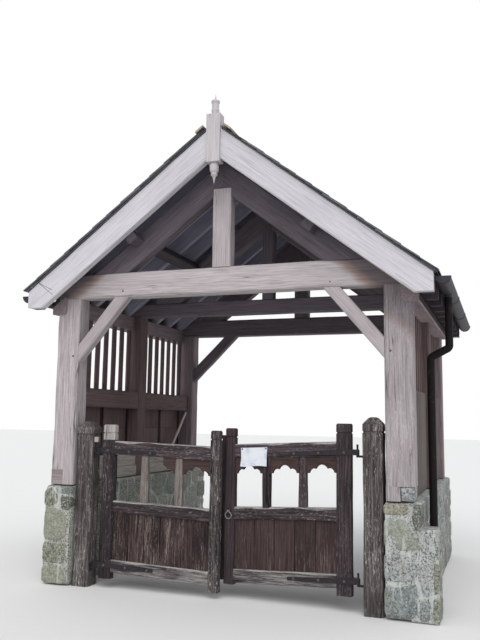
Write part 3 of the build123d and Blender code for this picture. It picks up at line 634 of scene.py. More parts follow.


# Oaks: their light, middle and dark fibres, and how they have weathered; some also carry painted
# shade or highlight
FRONT_FIBRES = ((0.6, 0.55, 0.565), (0.43, 0.38, 0.39), (0.24, 0.205, 0.21))
FRONT_BLEACH = (0.72, 0.68, 0.7)
OAKS = {
    "pale": (((0.54, 0.49, 0.5), (0.44, 0.39, 0.4), (0.31, 0.27, 0.275)),
             dict(checks=0.6, spread=0.16, relief=0.35)),
    "tie": (((0.6, 0.55, 0.555), (0.47, 0.42, 0.425), (0.3, 0.26, 0.26)),
            dict(checks=0.8, spread=0.18, relief=0.4, eaves=1.0)),
    "post": (FRONT_FIBRES,
             dict(bleach=FRONT_BLEACH, checks=0.8, spread=0.18, fleck=0.4, eaves=0.2)),
    # the right post: brown stain and painted shade under the barge
    "stained_and_shaded": (FRONT_FIBRES, dict(bleach=FRONT_BLEACH, checks=0.9, spread=0.2, fleck=0.5,
                                   eaves=0.6, reach=0.14)),
    "barge": (((0.70, 0.68, 0.71), (0.605, 0.58, 0.61), (0.45, 0.425, 0.45)),
              dict(checks=0.45, spread=0.13, relief=0.3)),
    # blue-grey: the sky-lit shade under the roof painted into the boards' and rafters' colour
    "roof": (((0.43, 0.42, 0.51), (0.34, 0.33, 0.405), (0.23, 0.22, 0.27)),
             dict(checks=0.3, spread=0.2, relief=0.3, tails="all")),
    # darker and bluer than the front oak: painted shade of the roof's interior
    "truss": (((0.215, 0.185, 0.21), (0.16, 0.135, 0.155), (0.1, 0.084, 0.097)),
              dict(checks=0.4, relief=0.35)),
    "rear": (((0.32, 0.255, 0.265), (0.235, 0.185, 0.195), (0.14, 0.108, 0.115)),
             dict(checks=0.4, relief=0.35)),
    # tails: its outer sides get the painted shade under the eaves
    "plate": (((0.38, 0.31, 0.32), (0.27, 0.215, 0.225), (0.16, 0.125, 0.13)),
              dict(relief=0.35, tails="sides")),
    "screen": (((0.21, 0.145, 0.145), (0.145, 0.1, 0.1), (0.08, 0.053, 0.053)),
               dict(checks=0.6, spread=0.3, relief=0.4)),
    "patch": (((0.5, 0.435, 0.435), (0.38, 0.32, 0.315), (0.2, 0.15, 0.14)),
              dict(spread=0.4, relief=0.6)),
    "peg": (((0.17, 0.14, 0.14), (0.11, 0.09, 0.09), (0.06, 0.048, 0.048)), {}),
    "lining": (((0.19, 0.165, 0.155), (0.14, 0.118, 0.112), (0.07, 0.058, 0.056)),
               dict(checks=0.7, spread=0.35)),
    # near black: a sheet of painted shade behind the screens' boards
    "shade_sheet": (((0.045, 0.032, 0.032), (0.03, 0.022, 0.022), (0.017, 0.012, 0.012)), {}),
    "sill": (((0.5, 0.47, 0.43), (0.37, 0.34, 0.31), (0.2, 0.18, 0.16)),
             dict(checks=0.8, spread=0.35, relief=0.6, fleck=0.5, bleach=(0.55, 0.5, 0.42))),
    "stick": (((0.6, 0.52, 0.49), (0.48, 0.4, 0.37), (0.28, 0.22, 0.2)), {}),
    "gate_post": (((0.3, 0.27, 0.26), (0.085, 0.071, 0.068), (0.012, 0.009, 0.009)),
                  dict(bleach=(0.6, 0.57, 0.54), bleached=0.3, checks=1.0, spread=0.45,
                       relief=1.0, fleck=0.75)),
    "gate": (((0.16, 0.12, 0.128), (0.054, 0.04, 0.045), (0.012, 0.009, 0.01)),
             dict(bleach=(0.48, 0.46, 0.44), bleached=0.2, checks=1.0, spread=0.5, relief=0.9,
                  ledge=0.95, fleck=0.5, low=0.42)),
    "meeting": (((0.2, 0.17, 0.165), (0.052, 0.042, 0.043), (0.01, 0.008, 0.008)),
                dict(bleach=(0.52, 0.49, 0.46), bleached=0.25, checks=1.0, spread=0.5,
                     relief=1.0, lichen=0.3, fleck=0.75)),
    "gate_worn": (((0.33, 0.29, 0.26), (0.19, 0.16, 0.145), (0.07, 0.058, 0.052)),
                  dict(bleach=(0.46, 0.43, 0.39), bleached=0.5, checks=0.9, spread=0.35,
                       relief=0.9, fleck=0.5)),
    "inner_stile": (((0.085, 0.062, 0.068), (0.045, 0.033, 0.037), (0.02, 0.015, 0.017)),
                    dict(checks=0.7, spread=0.3, relief=0.6, fleck=0.08)),
    "stile": (((0.1, 0.073, 0.079), (0.038, 0.028, 0.032), (0.01, 0.008, 0.009)),
              dict(bleach=(0.4, 0.37, 0.35), bleached=0.08, checks=1.0, spread=0.45,
                   relief=0.9, fleck=0.4)),
    "stile_head": (((0.58, 0.55, 0.53), (0.42, 0.39, 0.37), (0.13, 0.11, 0.1)),
                   dict(checks=0.9, spread=0.35, relief=0.9)),
    "left_board": (((0.18, 0.122, 0.115), (0.05, 0.032, 0.032), (0.009, 0.006, 0.007)),
                   dict(bleach=(0.48, 0.4, 0.35), bleached=0.3, checks=1.0, spread=0.7,
                        relief=1.0, fleck=0.35)),
    "right_board": (((0.102, 0.066, 0.061), (0.054, 0.034, 0.034), (0.022, 0.015, 0.015)),
                    dict(bleach=(0.34, 0.28, 0.24), bleached=0.1, checks=1.0, spread=0.65,
                         relief=0.7, low=0.2, fleck=0.12)),
    "gate_head": (((0.1, 0.064, 0.056), (0.06, 0.037, 0.034), (0.027, 0.018, 0.017)),
                  dict(checks=0.7, spread=0.3, relief=0.6, axis="x")),
    "finial": (((0.62, 0.58, 0.585), (0.53, 0.49, 0.5), (0.4, 0.36, 0.365)),
               dict(spread=0.16, relief=0.3, axis="z")),
}
OAK = {name: timber(name + "_oak", *fibres, **weather) for name, (fibres, weather) in OAKS.items()}
EVEN = (1.0,) * len(COARSENESS)
STONE = {
    "left": masonry("left_stone", SHADES, (0.91, 0.93, 0.87), lime=0.6),
    "right": masonry("right_stone", SHADES, (1.0, 1.01, 1.02), lime=0.72, edge=0.565),
}
MORTAR = {
    "left": masonry("left_mortar", [(0.37, 0.37, 0.33), (0.42, 0.42, 0.38)], coarseness=EVEN,
                    lime=0.8, edge=0.54),
    "right": masonry("right_mortar", [(0.43, 0.44, 0.42), (0.48, 0.49, 0.47)], coarseness=EVEN,
                     lime=0.85, edge=0.52),
}
SLATE = slate_material()
CLAY = clay_material()
IRON = painted_iron("iron", (0.036, 0.03, 0.036), (0.015, 0.013, 0.016))
WORN_IRON = painted_iron("worn_iron", (0.1, 0.092, 0.098), (0.05, 0.046, 0.05), 0.3)
# paler than the other iron: stands partly for the highlight on the ring's rim
RING_IRON = painted_iron("ring_iron", (0.3, 0.28, 0.28), (0.15, 0.14, 0.14), 0.5)
GUTTER_IRON = painted_iron("gutter_iron", (0.052, 0.05, 0.06), (0.032, 0.031, 0.04))
PIPE_IRON = painted_iron("pipe_iron", (0.012, 0.01, 0.011), (0.006, 0.005, 0.006), 0.12)
PAPER = paper_material()


def dress(node, material):
    """Give a CAD node whose shape is right its finish."""
    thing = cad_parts[node]
    thing.data.materials.clear()
    thing.data.materials.append(material)


# Dwarf walls

# Stones of the front faces: shade and outline (x, z)
LEFT_PIER = [
    ("blue", ((-1.470, 0.800), (-1.296, 0.812), (-1.294, 0.748), (-1.405, 0.742), (-1.440, 0.752))),
    ("green", ((-1.566, 0.768), (-1.500, 0.800), (-1.455, 0.756), (-1.432, 0.740), (-1.428, 0.667),
               (-1.518, 0.634), (-1.566, 0.650))),
    # a dark stone in a recess, its darkness partly painted shadow
    ("dark", ((-1.414, 0.724), (-1.302, 0.732), (-1.294, 0.658), (-1.319, 0.604), (-1.392, 0.616))),
    ("pale", ((-1.562, 0.620), (-1.448, 0.634), (-1.357, 0.588), (-1.330, 0.477), (-1.336, 0.388),
              (-1.422, 0.352), (-1.562, 0.366))),
    ("green", ((-1.562, 0.350), (-1.430, 0.334), (-1.345, 0.352), (-1.338, 0.230), (-1.352, 0.170),
               (-1.562, 0.176))),
    ("pale", ((-1.562, 0.158), (-1.348, 0.152), (-1.326, 0.070), (-1.330, 0.010), (-1.562, 0.010))),
]
RIGHT_PIER = [
    ("ochre", ((1.296, 0.806), (1.475, 0.812), (1.480, 0.730), (1.296, 0.721))),
    # a dark stone, its darkness partly the painted shade of the ivy
    ("dark", ((1.500, 0.808), (1.564, 0.808), (1.564, 0.655), (1.530, 0.610), (1.496, 0.690))),
    ("pale", ((1.296, 0.709), (1.452, 0.715), (1.479, 0.652), (1.513, 0.586), (1.546, 0.527),
              (1.552, 0.493), (1.442, 0.478), (1.296, 0.483))),
    ("rough", ((1.296, 0.466), (1.414, 0.463), (1.524, 0.433), (1.534, 0.370), (1.532, 0.290),
               (1.411, 0.258), (1.296, 0.262))),
    ("blue", ((1.296, 0.240), (1.411, 0.236), (1.532, 0.272), (1.534, 0.022), (1.296, 0.010))),
]
RIGHT_FOOTING = [
    ("rough", ((1.572, 0.625), (1.684, 0.630), (1.684, 0.470), (1.640, 0.440), (1.600, 0.500))),
    ("rough", ((1.546, 0.400), (1.591, 0.390), (1.622, 0.190), (1.574, 0.179), (1.544, 0.263))),
    ("green", ((1.640, 0.415), (1.684, 0.430), (1.684, 0.215), (1.642, 0.195))),
    ("blue", ((1.544, 0.155), (1.616, 0.160), (1.620, 0.012), (1.540, 0.012))),
    ("green", ((1.632, 0.175), (1.684, 0.190), (1.684, 0.012), (1.634, 0.012))),
]


def clip_polygon(points, middle, normal):
    """What is left of a convex polygon behind a line."""
    kept = []
    for a, b in zip(points, points[1:] + points[:1]):
        da, db = (a - middle).dot(normal), (b - middle).dot(normal)
        if da <= 0:
            kept.append(a)
        if da * db < 0:
            kept.append(a.lerp(b, da / (da - db)))
    return kept


def centroid(outline):
    return sum(outline, Vector((0, 0))) / len(outline)


def split_face(rng, width, height, length, squat=1.5, joint=0.006):
    """Irregular outlines that share out an upright rectangle."""
    rows, columns = round(height * squat / length), max(1, round(width / length))
    seeds = [Vector(((c + 0.5 * (r % 2) + rng.uniform(0.1, 0.9)) * width / columns,
                     (r + rng.uniform(0.2, 0.8)) * height * squat / rows))
             for r in range(rows) for c in range(-1, columns)]
    cells = []
    for seed in seeds:
        cell = [Vector(p) for p in ((0, 0), (width, 0), (width, height * squat),
                                    (0, height * squat))]
        for other in seeds:
            if other is not seed and cell:
                cell = clip_polygon(cell, (seed + other) / 2, other - seed)
        if len(cell) < 3:
            continue
        cell = [Vector((p.x, p.y / squat)) for p in cell]
        centre = centroid(cell)
        reach = min((p - centre).length for p in cell)
        if reach > 0.03:
            cells.append([centre + (p - centre) * (1 - joint / reach) for p in cell])
    return cells


def worn_outline(cell, centre, drift):
    """An outline with round corners, nibbled up to 6 mm deep."""
    for _ in range(2):
        cell = [a.lerp(b, t) for a, b in zip(cell, cell[1:] + cell[:1]) for t in (0.14, 0.86)]
    edge = []
    for a, b in zip(cell, cell[1:] + cell[:1]):
        steps = max(1, round((b - a).length / 0.02))
        edge += [a.lerp(b, i / steps) for i in range(steps)]
    return [p - (p - centre).normalized() * 0.006
            * (noise.noise(drift + Vector((p.x, p.y, 0)) * 30) * 0.5 + 0.5) for p in edge]


def face_stone(stones, origin, along, outward, cell, depth=0.05, tone=None):
    """A stone whose flat, uneven front fills an outline, just behind the wall's face."""
    rng = stones.rng
    centre = centroid(cell)
    drift = stones.drift()
    edge = worn_outline(cell, centre, drift)
    sunk = rng.uniform(0.001, 0.004)
    tilt = Vector((rng.uniform(-0.02, 0.02), rng.uniform(-0.02, 0.02)))
    bm = bmesh.new()
    rings = []
    for share, back in ((1.0, depth), (1.0, 0.013), (0.97, 0.004), (0.85, 0.001), (0.6, 0.0),
                        (0.3, 0.0)):
        ring = []
        for p in edge:
            q = centre + (p - centre) * share
            rough = noise.noise(drift + Vector((q.x, q.y, 0)) * 24) * 0.5 + 0.5
            back_here = back + sunk + rough * 0.007 + max(0.0, (q - centre).dot(tilt))
            ring.append(bm.verts.new(origin + along * q.x + UP * q.y - outward * back_here))
        rings.append(ring)
    middle = bm.verts.new(origin + along * centre.x + UP * centre.y - outward * (sunk + 0.003))
    skin(bm, rings)
    for i in range(len(edge)):
        bm.faces.new((rings[-1][i], rings[-1][(i + 1) % len(edge)], middle))
    bm.faces.new(reversed(rings[0]))
    bmesh.ops.recalc_face_normals(bm, faces=bm.faces)
    stones.take(bm, None, tone)


def masonry_mass(stones, mortar, low, high, front):
    """Rubble flush in mortar on the four upright sides of a box. front lists the stones
    of its front face; they and the end stones run back as quoins."""
    (x0, y0, z0), (x1, y1, z1) = low, high
    block(mortar, (x0 + 0.009, y0 + 0.009, z0 + 0.002), (x1 - 0.009, y1 - 0.009, z1 - 0.004),
          roundness=40, rough=0.006, skew=0.002, tone=stones.rng.random(),
          steps=[-1 + 2 * i / 30 for i in range(31)])
    quoin = min(0.20, (y1 - y0) / 2)
    for shade, outline in front:
        face_stone(stones, Vector((0, y0, 0)), ACROSS, -ALONG, [Vector(p) for p in outline],
                   depth=quoin, tone=SHADE[shade])
    for cell in split_face(stones.rng, x1 - x0, z1 - z0, 0.24):
        face_stone(stones, Vector((x0, y1, z0)), ACROSS, ALONG, cell, depth=quoin)
    run = y1 - y0 - 2 * quoin + 0.02
    if run < 0.1:
        return
    for x, outward in ((x0, -ACROSS), (x1, ACROSS)):
        for cell in split_face(stones.rng, run, z1 - z0, 0.34):
            face_stone(stones, Vector((x, y0 + quoin - 0.01, z0)), ALONG, outward, cell,
                       tone=stones.rng.choice((0.0, 0.05, 0.75, 0.85, 0.95)))


def dwarf_walls():
    for side, name, front in ((-1, "left", LEFT_PIER), (1, "right", RIGHT_PIER)):
        stones = Piece(name + "_wall_stones", 11 + side)
        mortar = Piece(name + "_wall_mortar", 21 + side)
        low, high = corners(name + "_wall")
        x0, x1 = sorted((side * WALL_INNER, side * WALL_OUTER))
        masonry_mass(stones, mortar, (x0, low.y, 0.0), (x1, high.y, WALL_TOP), front)
        if side > 0:
            masonry_mass(stones, mortar, (WALL_OUTER - 0.10, low.y, 0.0),
                         (high.x, low.y + FOOTING_RUN, FOOTING_TOP), RIGHT_FOOTING)
            # the pad under the cut half of the right post
            block(stones, (1.418, -1.325, WALL_TOP), (1.523, -1.153, WALL_TOP + POST_CUT),
                  rough=0.004, tone=0.8)
        stones.build(STONE[name], name + "_wall", smooth=60)
        mortar.build(MORTAR[name], smooth=60)


# Oak frame

def posts():
    for name, tone, oak in (("front_left_post", 0.5, "post"),
                            ("front_right_post", -0.35, "stained_and_shaded")):
        piece = Piece(name + "_timber", 31 + len(name))
        middle, size, low, high = box_middle(name)
        cut_foot = name == "front_right_post"
        cuts = [((0, 0, low.z + POST_CUT), (0, 0, -1))] if cut_foot else []
        upright(piece, middle.x, middle.y, low.z, high.z, size.x, size.y, bevel=0.012,
                warp=0.004, tone=tone, cuts=cuts)
        if cut_foot:
            # the inner half of the foot, which was left standing
            upright(piece, low.x + size.x / 4, middle.y, low.z, low.z + POST_CUT, size.x / 2,
                    size.y, bevel=0.010, tone=tone)
        piece.build(OAK[oak], name)
    for name, inner, oak in (("middle_posts", MIDDLE_POST_INNER, "screen"),
                             ("rear_posts", REAR_POST_INNER, "rear")):
        piece = Piece(name + "_timber", 41 + len(name))
        middle, size, low, high = box_middle(name)
        for side in SIDES:
            upright(piece, side * (inner + high.x) / 2, middle.y, low.z, high.z, high.x - inner,
                    size.y, bevel=0.010, warp=0.003)
        piece.build(OAK[oak], name)


def tie_beams():
    slopes = [((0, 0, roof_z(0, BOARDS_DROP)), off_slope(side)) for side in SIDES]
    for name, oak, tone in zip(TIES, ("tie", "truss", "truss"), (0.6, 0.7, 1.6)):
        piece = Piece(name + "_timber", 51 + len(name))
        middle, size, low, high = box_middle(name)
        beam(piece, (low.x, middle.y, middle.z), (high.x, middle.y, middle.z), UP, size.z, size.y,
             cuts=slopes, bevel=0.011, warp=0.005, tone=tone)
        piece.build(OAK[oak], name)


def knee_braces():
    for name, oak, foot, rise, reach, head in (
            ("front_knee_braces", "pale", 0.133, 0.542, 0.470, 0.136),
            ("rear_knee_braces", "truss", 0.146, 0.538, 0.542, 0.153)):
        piece = Piece(name + "_timber", 61 + len(name))
        middle, size, low, high = box_middle(name)
        inner = high.x
        for side in SIDES:
            a = Vector((side * inner, middle.y, high.z - rise + foot / 2))
            b = Vector((side * (inner - reach + head / 2), middle.y, high.z))
            run = (b - a).normalized()
            lower = Vector((side * reach, 0, -rise)).normalized()
            square = abs(Vector((-lower.z, 0, lower.x)).normalized().x) * head
            beam(piece, a - run * 0.2, b + run * 0.2, UP, square, size.y, bevel=0.009,
                 cuts=[((side * inner, 0, 0), (side, 0, 0)), ((0, 0, high.z), (0, 0, 1))])
        piece.build(OAK[oak], name)


def king_posts():
    front = Piece("front_king_post_timber", 71)
    others = Piece("inner_king_posts_timber", 72)
    for tie, piece, tone in zip(TIES, (front, others, others), (0.1, 0.7, 0.7)):
        low, high = corners(tie)
        upright(piece, 0, low.y + 0.053, high.z, KING_TOP, width=KING_WIDTHS[tie], depth=0.110,
                bevel=0.007, warp=0.003, tone=tone)
    front.build(OAK["pale"], "king_posts")
    others.build(OAK["truss"])


def pegs():
    """Oak pegs at the front's joints and along the left screen's rail."""
    heads = Piece("frame_pegs", 76)
    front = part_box("front_tie_beam")[0][1]
    for x, z in ((0.905, 2.451), (-0.895, 2.460), (-1.360, 1.910), (1.360, 1.910)):
        dome(heads, (x, front - 0.001, z), (0, -1, 0), radius=0.009, height=0.003, sides=8)
    for y in (-0.694, -0.284, 0.153):
        dome(heads, (-1.364, y, 1.545), (1, 0, 0), radius=0.010, height=0.003, sides=8)
    heads.build(OAK["peg"])


def small_marks():
    """Lines scribed on the left barge foot, a patch on the left post's foot, and the
    packing beside the left gate post."""
    lines = Piece("barge_scribed_lines", 77)
    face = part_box("front_barge_boards")[0][1] + 0.0015
    for x, z in ((-1.460, 2.458), (-1.454, 2.417)):
        beam(lines, (-1.600, face, 2.526), (x, face, z), UP, 0.004, 0.003, bevel=0.0005, warp=0.0)
    lines.build(OAK["peg"])
    patch = Piece("post_foot_patch", 78)
    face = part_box("front_tie_beam")[0][1] - 0.001
    beam(patch, (-1.516, face, 0.883), (-1.412, face, 0.883), UP, 0.124, 0.004, bevel=0.001,
         warp=0.0)
    patch.build(OAK["patch"])
    packing = Piece("gate_post_packing", 79)
    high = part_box("left_gate_post")[1]
    upright(packing, high[0] + 0.017, -1.264, low=1.180, high=1.223, width=0.034, depth=0.030,
            bevel=0.003)
    packing.build(OAK["stick"])


def principal_rafters():
    for side, name in ((-1, "left_principal_rafters"), (1, "right_principal_rafters")):
        piece = Piece(name + "_timber", 81 + side)
        # the front principals are toned darker as painted shade of the overhang, the inner ones
        # lighter
        for tie, tone in zip(TIES, (-0.3, 1.2, 1.2)):
            low, high = corners(tie)
            slope_beam(piece, side, low.y + 0.055, PRINCIPAL_DROP, height=0.195, width=0.108,
                       inner=0, outer=1.20,
                       cuts=[((0, 0, high.z), (0, 0, -1)), ((0, 0, RIDGE_BOARD_Z), (0, 0, 1))],
                       bevel=0.006, tone=tone)
        piece.build(OAK["truss"], name)


def purlins_and_ridge():
    piece = Piece("purlins_and_ridge_timber", 91)
    low, high = corners("purlins_and_ridge")
    for side in SIDES:
        spot = Vector((side * PURLIN_X, 0, roof_z(PURLIN_X, COMMONS_DROP))) - off_slope(side) * 0.05
        # tone -0.8 darkens the purlins as painted shade, above all their lit front ends
        beam(piece, spot + ALONG * low.y, spot + ALONG * high.y, down_slope(side),
             width=0.090, depth=0.100, bevel=0.006, tone=-0.8)
    lengthwise(piece, 0, (RIDGE_BOARD_Z + RIDGE_BOARD_TOP) / 2, low.y, high.y, 0.040,
               RIDGE_BOARD_TOP - RIDGE_BOARD_Z, bevel=0.003)
    piece.build(OAK["truss"], "purlins_and_ridge")


EAVES_CUT = ((0, 0, EAVES_CUT_Z), (0, 0, -1))


def common_rafters():
    piece = Piece("common_rafters_timber", 92)
    low, high = corners("common_rafters")
    first = low.y + 0.03
    for side in SIDES:
        for i in range(RAFTER_COUNT):
            y = first + i * (-2 * first) / (RAFTER_COUNT - 1)
            slope_beam(piece, side, y, BOARDS_DROP, height=0.145, width=0.060, inner=0.020,
                       outer=EAVES_X, cuts=[EAVES_CUT], bevel=0.004)
    piece.build(OAK["roof"], "common_rafters")


def wall_plates():
    piece = Piece("wall_plates_timber", 93)
    low, high = corners("wall_plates")
    for side in SIDES:
        lengthwise(piece, side * (PLATE_INNER + PLATE_OUTER) / 2, (low.z + high.z) / 2, low.y,
                   high.y, PLATE_OUTER - PLATE_INNER, high.z - low.z, bevel=0.008,
                   cuts=[((0, 0, roof_z(0, COMMONS_DROP)), off_slope(side))])
    piece.build(OAK["plate"], "wall_plates")


def roof_boards():
    """Sarking boards laid along the roof, seen from inside it."""
    piece = Piece("roof_boards_timber", 94)
    low, high = corners("roof_boards")
    gap = 0.006                 # from the ridge to the first board
    length = (EAVES_X - gap) / math.cos(PITCH)
    count = 15
    for side in SIDES:
        down = down_slope(side)
        apex = Vector((side * gap, 0, roof_z(gap)))
        for i in range(count):
            middle = apex + down * (length * (i + 0.5) / count) - off_slope(side) * 0.011
            beam(piece, middle + ALONG * low.y, middle + ALONG * high.y, down,
                 length / count - 0.003, 0.020, bevel=0.0015, step=0.5)
    piece.build(OAK["roof"], "roof_boards")


def barge_boards():
    for name in ("front_barge_boards", "rear_barge_boards"):
        piece = Piece(name + "_timber", 101 + len(name))
        middle, size, low, high = box_middle(name)
        for side in SIDES:
            slope_beam(piece, side, middle.y, 0, height=BARGE_DEPTH * math.cos(PITCH),
                       width=size.y, inner=SHAFT_HALF, outer=EAVES_X, cuts=[EAVES_CUT],
                       bevel=0.006, warp=0.004)
        piece.build(OAK["barge"], name)


# Roof cover

def slate(piece, side, head, tail, y0, y1):
    """One slate, its lower corners clipped, lying on the course below."""
    rng = piece.rng
    lift = rng.uniform(-0.0008, 0.0012)
    foot = tail + rng.uniform(-0.003, 0.003)
    clip = foot - rng.uniform(0.0, 0.006)
    ring = [(head, y0 + SLATE_GAP), (head, y1 - SLATE_GAP), (clip, y1 - SLATE_GAP),
            (foot, y1 - SLATE_CORNER), (foot, y0 + SLATE_CORNER), (clip, y0 + SLATE_GAP)]
    bm = bmesh.new()
    sheets = []
    for top in (0, SLATE_THICKNESS):
        sheets.append([bm.verts.new(roof_point(
            side, s, y, SLATE_BED + SLATE_TILT * (s - head) / SLATE_LENGTH + lift + top))
            for s, y in ring])
    under, upper = sheets
    bm.faces.new(under if side > 0 else reversed(under))
    bm.faces.new(reversed(upper) if side > 0 else upper)
    for i in range(len(ring)):
        j = (i + 1) % len(ring)
        bm.faces.new((under[j], under[i], upper[i], upper[j]))
    bmesh.ops.recalc_face_normals(bm, faces=bm.faces)
    piece.take(bm, basis(roof_point(side, 0, 0, 0), roof_point(side, 1, 0, 0), ALONG))


def slates():
    foot = (EAVES_X + EAVES_OVERHANG) / math.cos(PITCH)
    for side, name in ((-1, "left_slates"), (1, "right_slates")):
        piece = Piece(name + "_courses", 111 + side)
        low, high = corners(name)
        course = 0
        while foot - course * SLATE_GAUGE > SLATE_HEAD + 0.05:
            tail = foot - course * SLATE_GAUGE
            head = max(SLATE_HEAD, tail - SLATE_LENGTH)
            y = low.y - (SLATE_WIDTH / 2 if course % 2 else 0)
            while y < high.y:
                y0, y1 = max(y, low.y), min(y + SLATE_WIDTH, high.y)
                if y1 - y0 > 0.03:
                    slate(piece, side, head, tail, y0, y1)
                y += SLATE_WIDTH
            course += 1
        # the sheet under the courses, and the undercourse at the eaves
        for s0, s1, h0, h1 in ((SLATE_HEAD, foot - 0.02, 0.0, SLATE_BED),
                               (foot - 0.14, foot - 0.01, SLATE_BED, 0.0185)):
            s, h = (s0 + s1) / 2, (h0 + h1) / 2
            beam(piece, roof_point(side, s, low.y + 0.02, h), roof_point(side, s, high.y - 0.02, h),
                 roof_point(side, 1, 0, 0) - roof_point(side, 0, 0, 0), s1 - s0, h1 - h0,
                 bevel=0.001, step=1.0, tone=0.1)
        piece.build(SLATE, name, smooth=20)


def tile_leg(piece, side, start, end, inner, lift, tone):
    """One leg of a ridge tile. inner is how far down the slope it starts."""
    lower, upper = TILE_BED, TILE_BED + TILE_THICKNESS + lift
    chamfer = 0.004
    outline = [(inner, lower), (inner, upper), (TILE_LEG - chamfer, upper),
               (TILE_LEG, upper - chamfer), (TILE_LEG, lower)]
    bm = bmesh.new()
    rings = []
    for y in (start, end):
        points = [roof_point(side, d, y, h) for d, h in outline]
        if not inner:
            points[:2] = [Vector((0, y, RIDGE_Z + h / math.cos(PITCH))) for h in (lower, upper)]
        rings.append([bm.verts.new(p) for p in points])
    skin(bm, rings)
    for ring in rings:
        bm.faces.new(ring)
    bmesh.ops.recalc_face_normals(bm, faces=bm.faces)
    piece.take(bm, None, tone)


def ridge_tiles():
    piece = Piece("ridge_tiles_row", 121)
    low, high = corners("ridge_tiles")
    length = (high.y - low.y) / TILE_COUNT
    notch = (SHAFT_HALF + 0.004) / math.cos(PITCH)
    last = TILE_COUNT - 1
    for i in range(TILE_COUNT):
        y0 = low.y + i * length + (TILE_JOINT if i else 0)
        y1 = low.y + (i + 1) * length - (TILE_JOINT if i < last else 0)
        lift = piece.rng.uniform(0, 0.0008)
        tone = piece.rng.random()
        spans = [(y0, y1, 0.0)]
        # the end tiles are notched round the finials' shafts
        if i == 0:
            spans = [(y0, -BARGE_BACK, notch), (-BARGE_BACK, y1, 0.0)]
        elif i == last:
            spans = [(y0, BARGE_BACK, 0.0), (BARGE_BACK, y1, notch)]
        for side in SIDES:
            for start, end, inner in spans:
                tile_leg(piece, side, start, end, inner, lift, tone)
    piece.build(CLAY, "ridge_tiles", smooth=50)


# Side screens

def screen_boards(boards, side, start, end):
    """Wide upright boards in two tiers, each with a narrow one behind its edge."""
    half = (end - start) / 2
    for low, high in BOARD_TIERS:
        for y0, y1 in ((start + 0.012, start + half - 0.036), (start + half + 0.030, end - 0.070)):
            upright(boards, side * (SCREEN_OUTER + 0.007), (y0 + y1) / 2, low, high,
                    width=y1 - y0, depth=0.013, across=ALONG, bevel=0.002, warp=0.001)
            upright(boards, side * (SCREEN_OUTER + 0.006), y0 + 0.045, low, high, width=0.088,
                    depth=0.011, across=ALONG, bevel=0.002, warp=0.001)


def screens():
    rails = Piece("screen_rails_timber", 131)
    sills = Piece("screen_sills_timber", 132)
    slats = Piece("screen_slats_timber", 133)
    boards = Piece("screen_boards_timber", 134)
    shade = Piece("screen_shade_sheet", 135)
    lining = Piece("screen_outer_boards_timber", 137)
    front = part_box("front_left_post")[1][1]
    middle_low, middle_high = (corner[1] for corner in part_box("middle_posts"))
    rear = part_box("rear_posts")[0][1]
    for side in SIDES:
        x = side * (SCREEN_INNER + SCREEN_OUTER) / 2
        for start, end in ((front, middle_low), (middle_high, rear)):
            run = end - start
            lengthwise(sills, x, SILL_Z, start, end, width=0.100, depth=0.102, bevel=0.008,
                       warp=0.003)
            lengthwise(sills, x + side * 0.006, LEDGE_Z, start, end, width=0.088, depth=0.112,
                       bevel=0.006, tone=0.9)
            lengthwise(rails, x, RAIL_Z, start, end, width=0.100, depth=0.170, bevel=0.009,
                       warp=0.003)
            count = int(run // SLAT_GAUGE)
            first = start + (run - (count - 1) * SLAT_GAUGE) / 2
            for i in range(count):
                upright(slats, side * (SCREEN_OUTER - 0.013), first + i * SLAT_GAUGE, SLAT_LOW,
                        SLAT_HIGH, width=0.018, depth=0.068, bevel=0.002)
            screen_boards(boards, side, start, end)
            # a near-black sheet, painted shade, shows between the boards, and outer boards cover it
            behind = side * (SCREEN_OUTER + 0.0145)
            beam(shade, (behind, start, 1.230), (behind, end, 1.230), UP, width=0.820,
                 depth=0.001, bevel=0.0003)
            width = run / 8
            for i in range(8):
                upright(lining, side * (SCREEN_OUTER + 0.0185), start + width * (i + 0.5),
                        low=0.821, high=1.640, width=width - 0.004, depth=0.006, across=ALONG,
                        bevel=0.0015, warp=0.0003)
    rails.build(OAK["screen"], "screen_rails")
    sills.build(OAK["sill"])
    slats.build(OAK["screen"], "screen_slats")
    boards.build(OAK["screen"], "screen_boards")
    shade.build(OAK["shade_sheet"])
    lining.build(OAK["lining"])
    stick = Piece("leaning_stick", 136)
    beam(stick, (-1.372, 1.120, 1.460), (-1.362, 0.600, 0.935), ACROSS, 0.014, 0.036, bevel=0.003)
    stick.build(OAK["stick"])


# Gates

def grooved(shoulder, drop, half, depth, *end):
    """Rows for a groove cut round a post or stile below its shoulder, and for its end."""
    groove = shoulder - drop
    return [(groove - half - 0.004, 0.0), (groove - half, depth), (groove + half, depth),
            (groove + half + 0.004, 0.0), *end]


def gate_posts():
    for name, seed in (("left_gate_post", 141), ("right_gate_post", 142)):
        piece = Piece(name + "_timber", seed)
        middle, size, low, high = box_middle(name)
        height = high.z
        shoulder = height - 0.048
        profile = grooved(shoulder, 0.062, 0.004, 0.006, (shoulder - 0.006, 0.0),
                          (shoulder + 0.008, 0.010), (height - 0.006, 0.040), (height, 0.054))
        upright(piece, middle.x, middle.y, 0.0, height, size.x, size.y, bevel=0.010, wear=1.2,
                warp=0.006, profile=profile, step=0.07)
        piece.build(OAK["gate_post"], name)


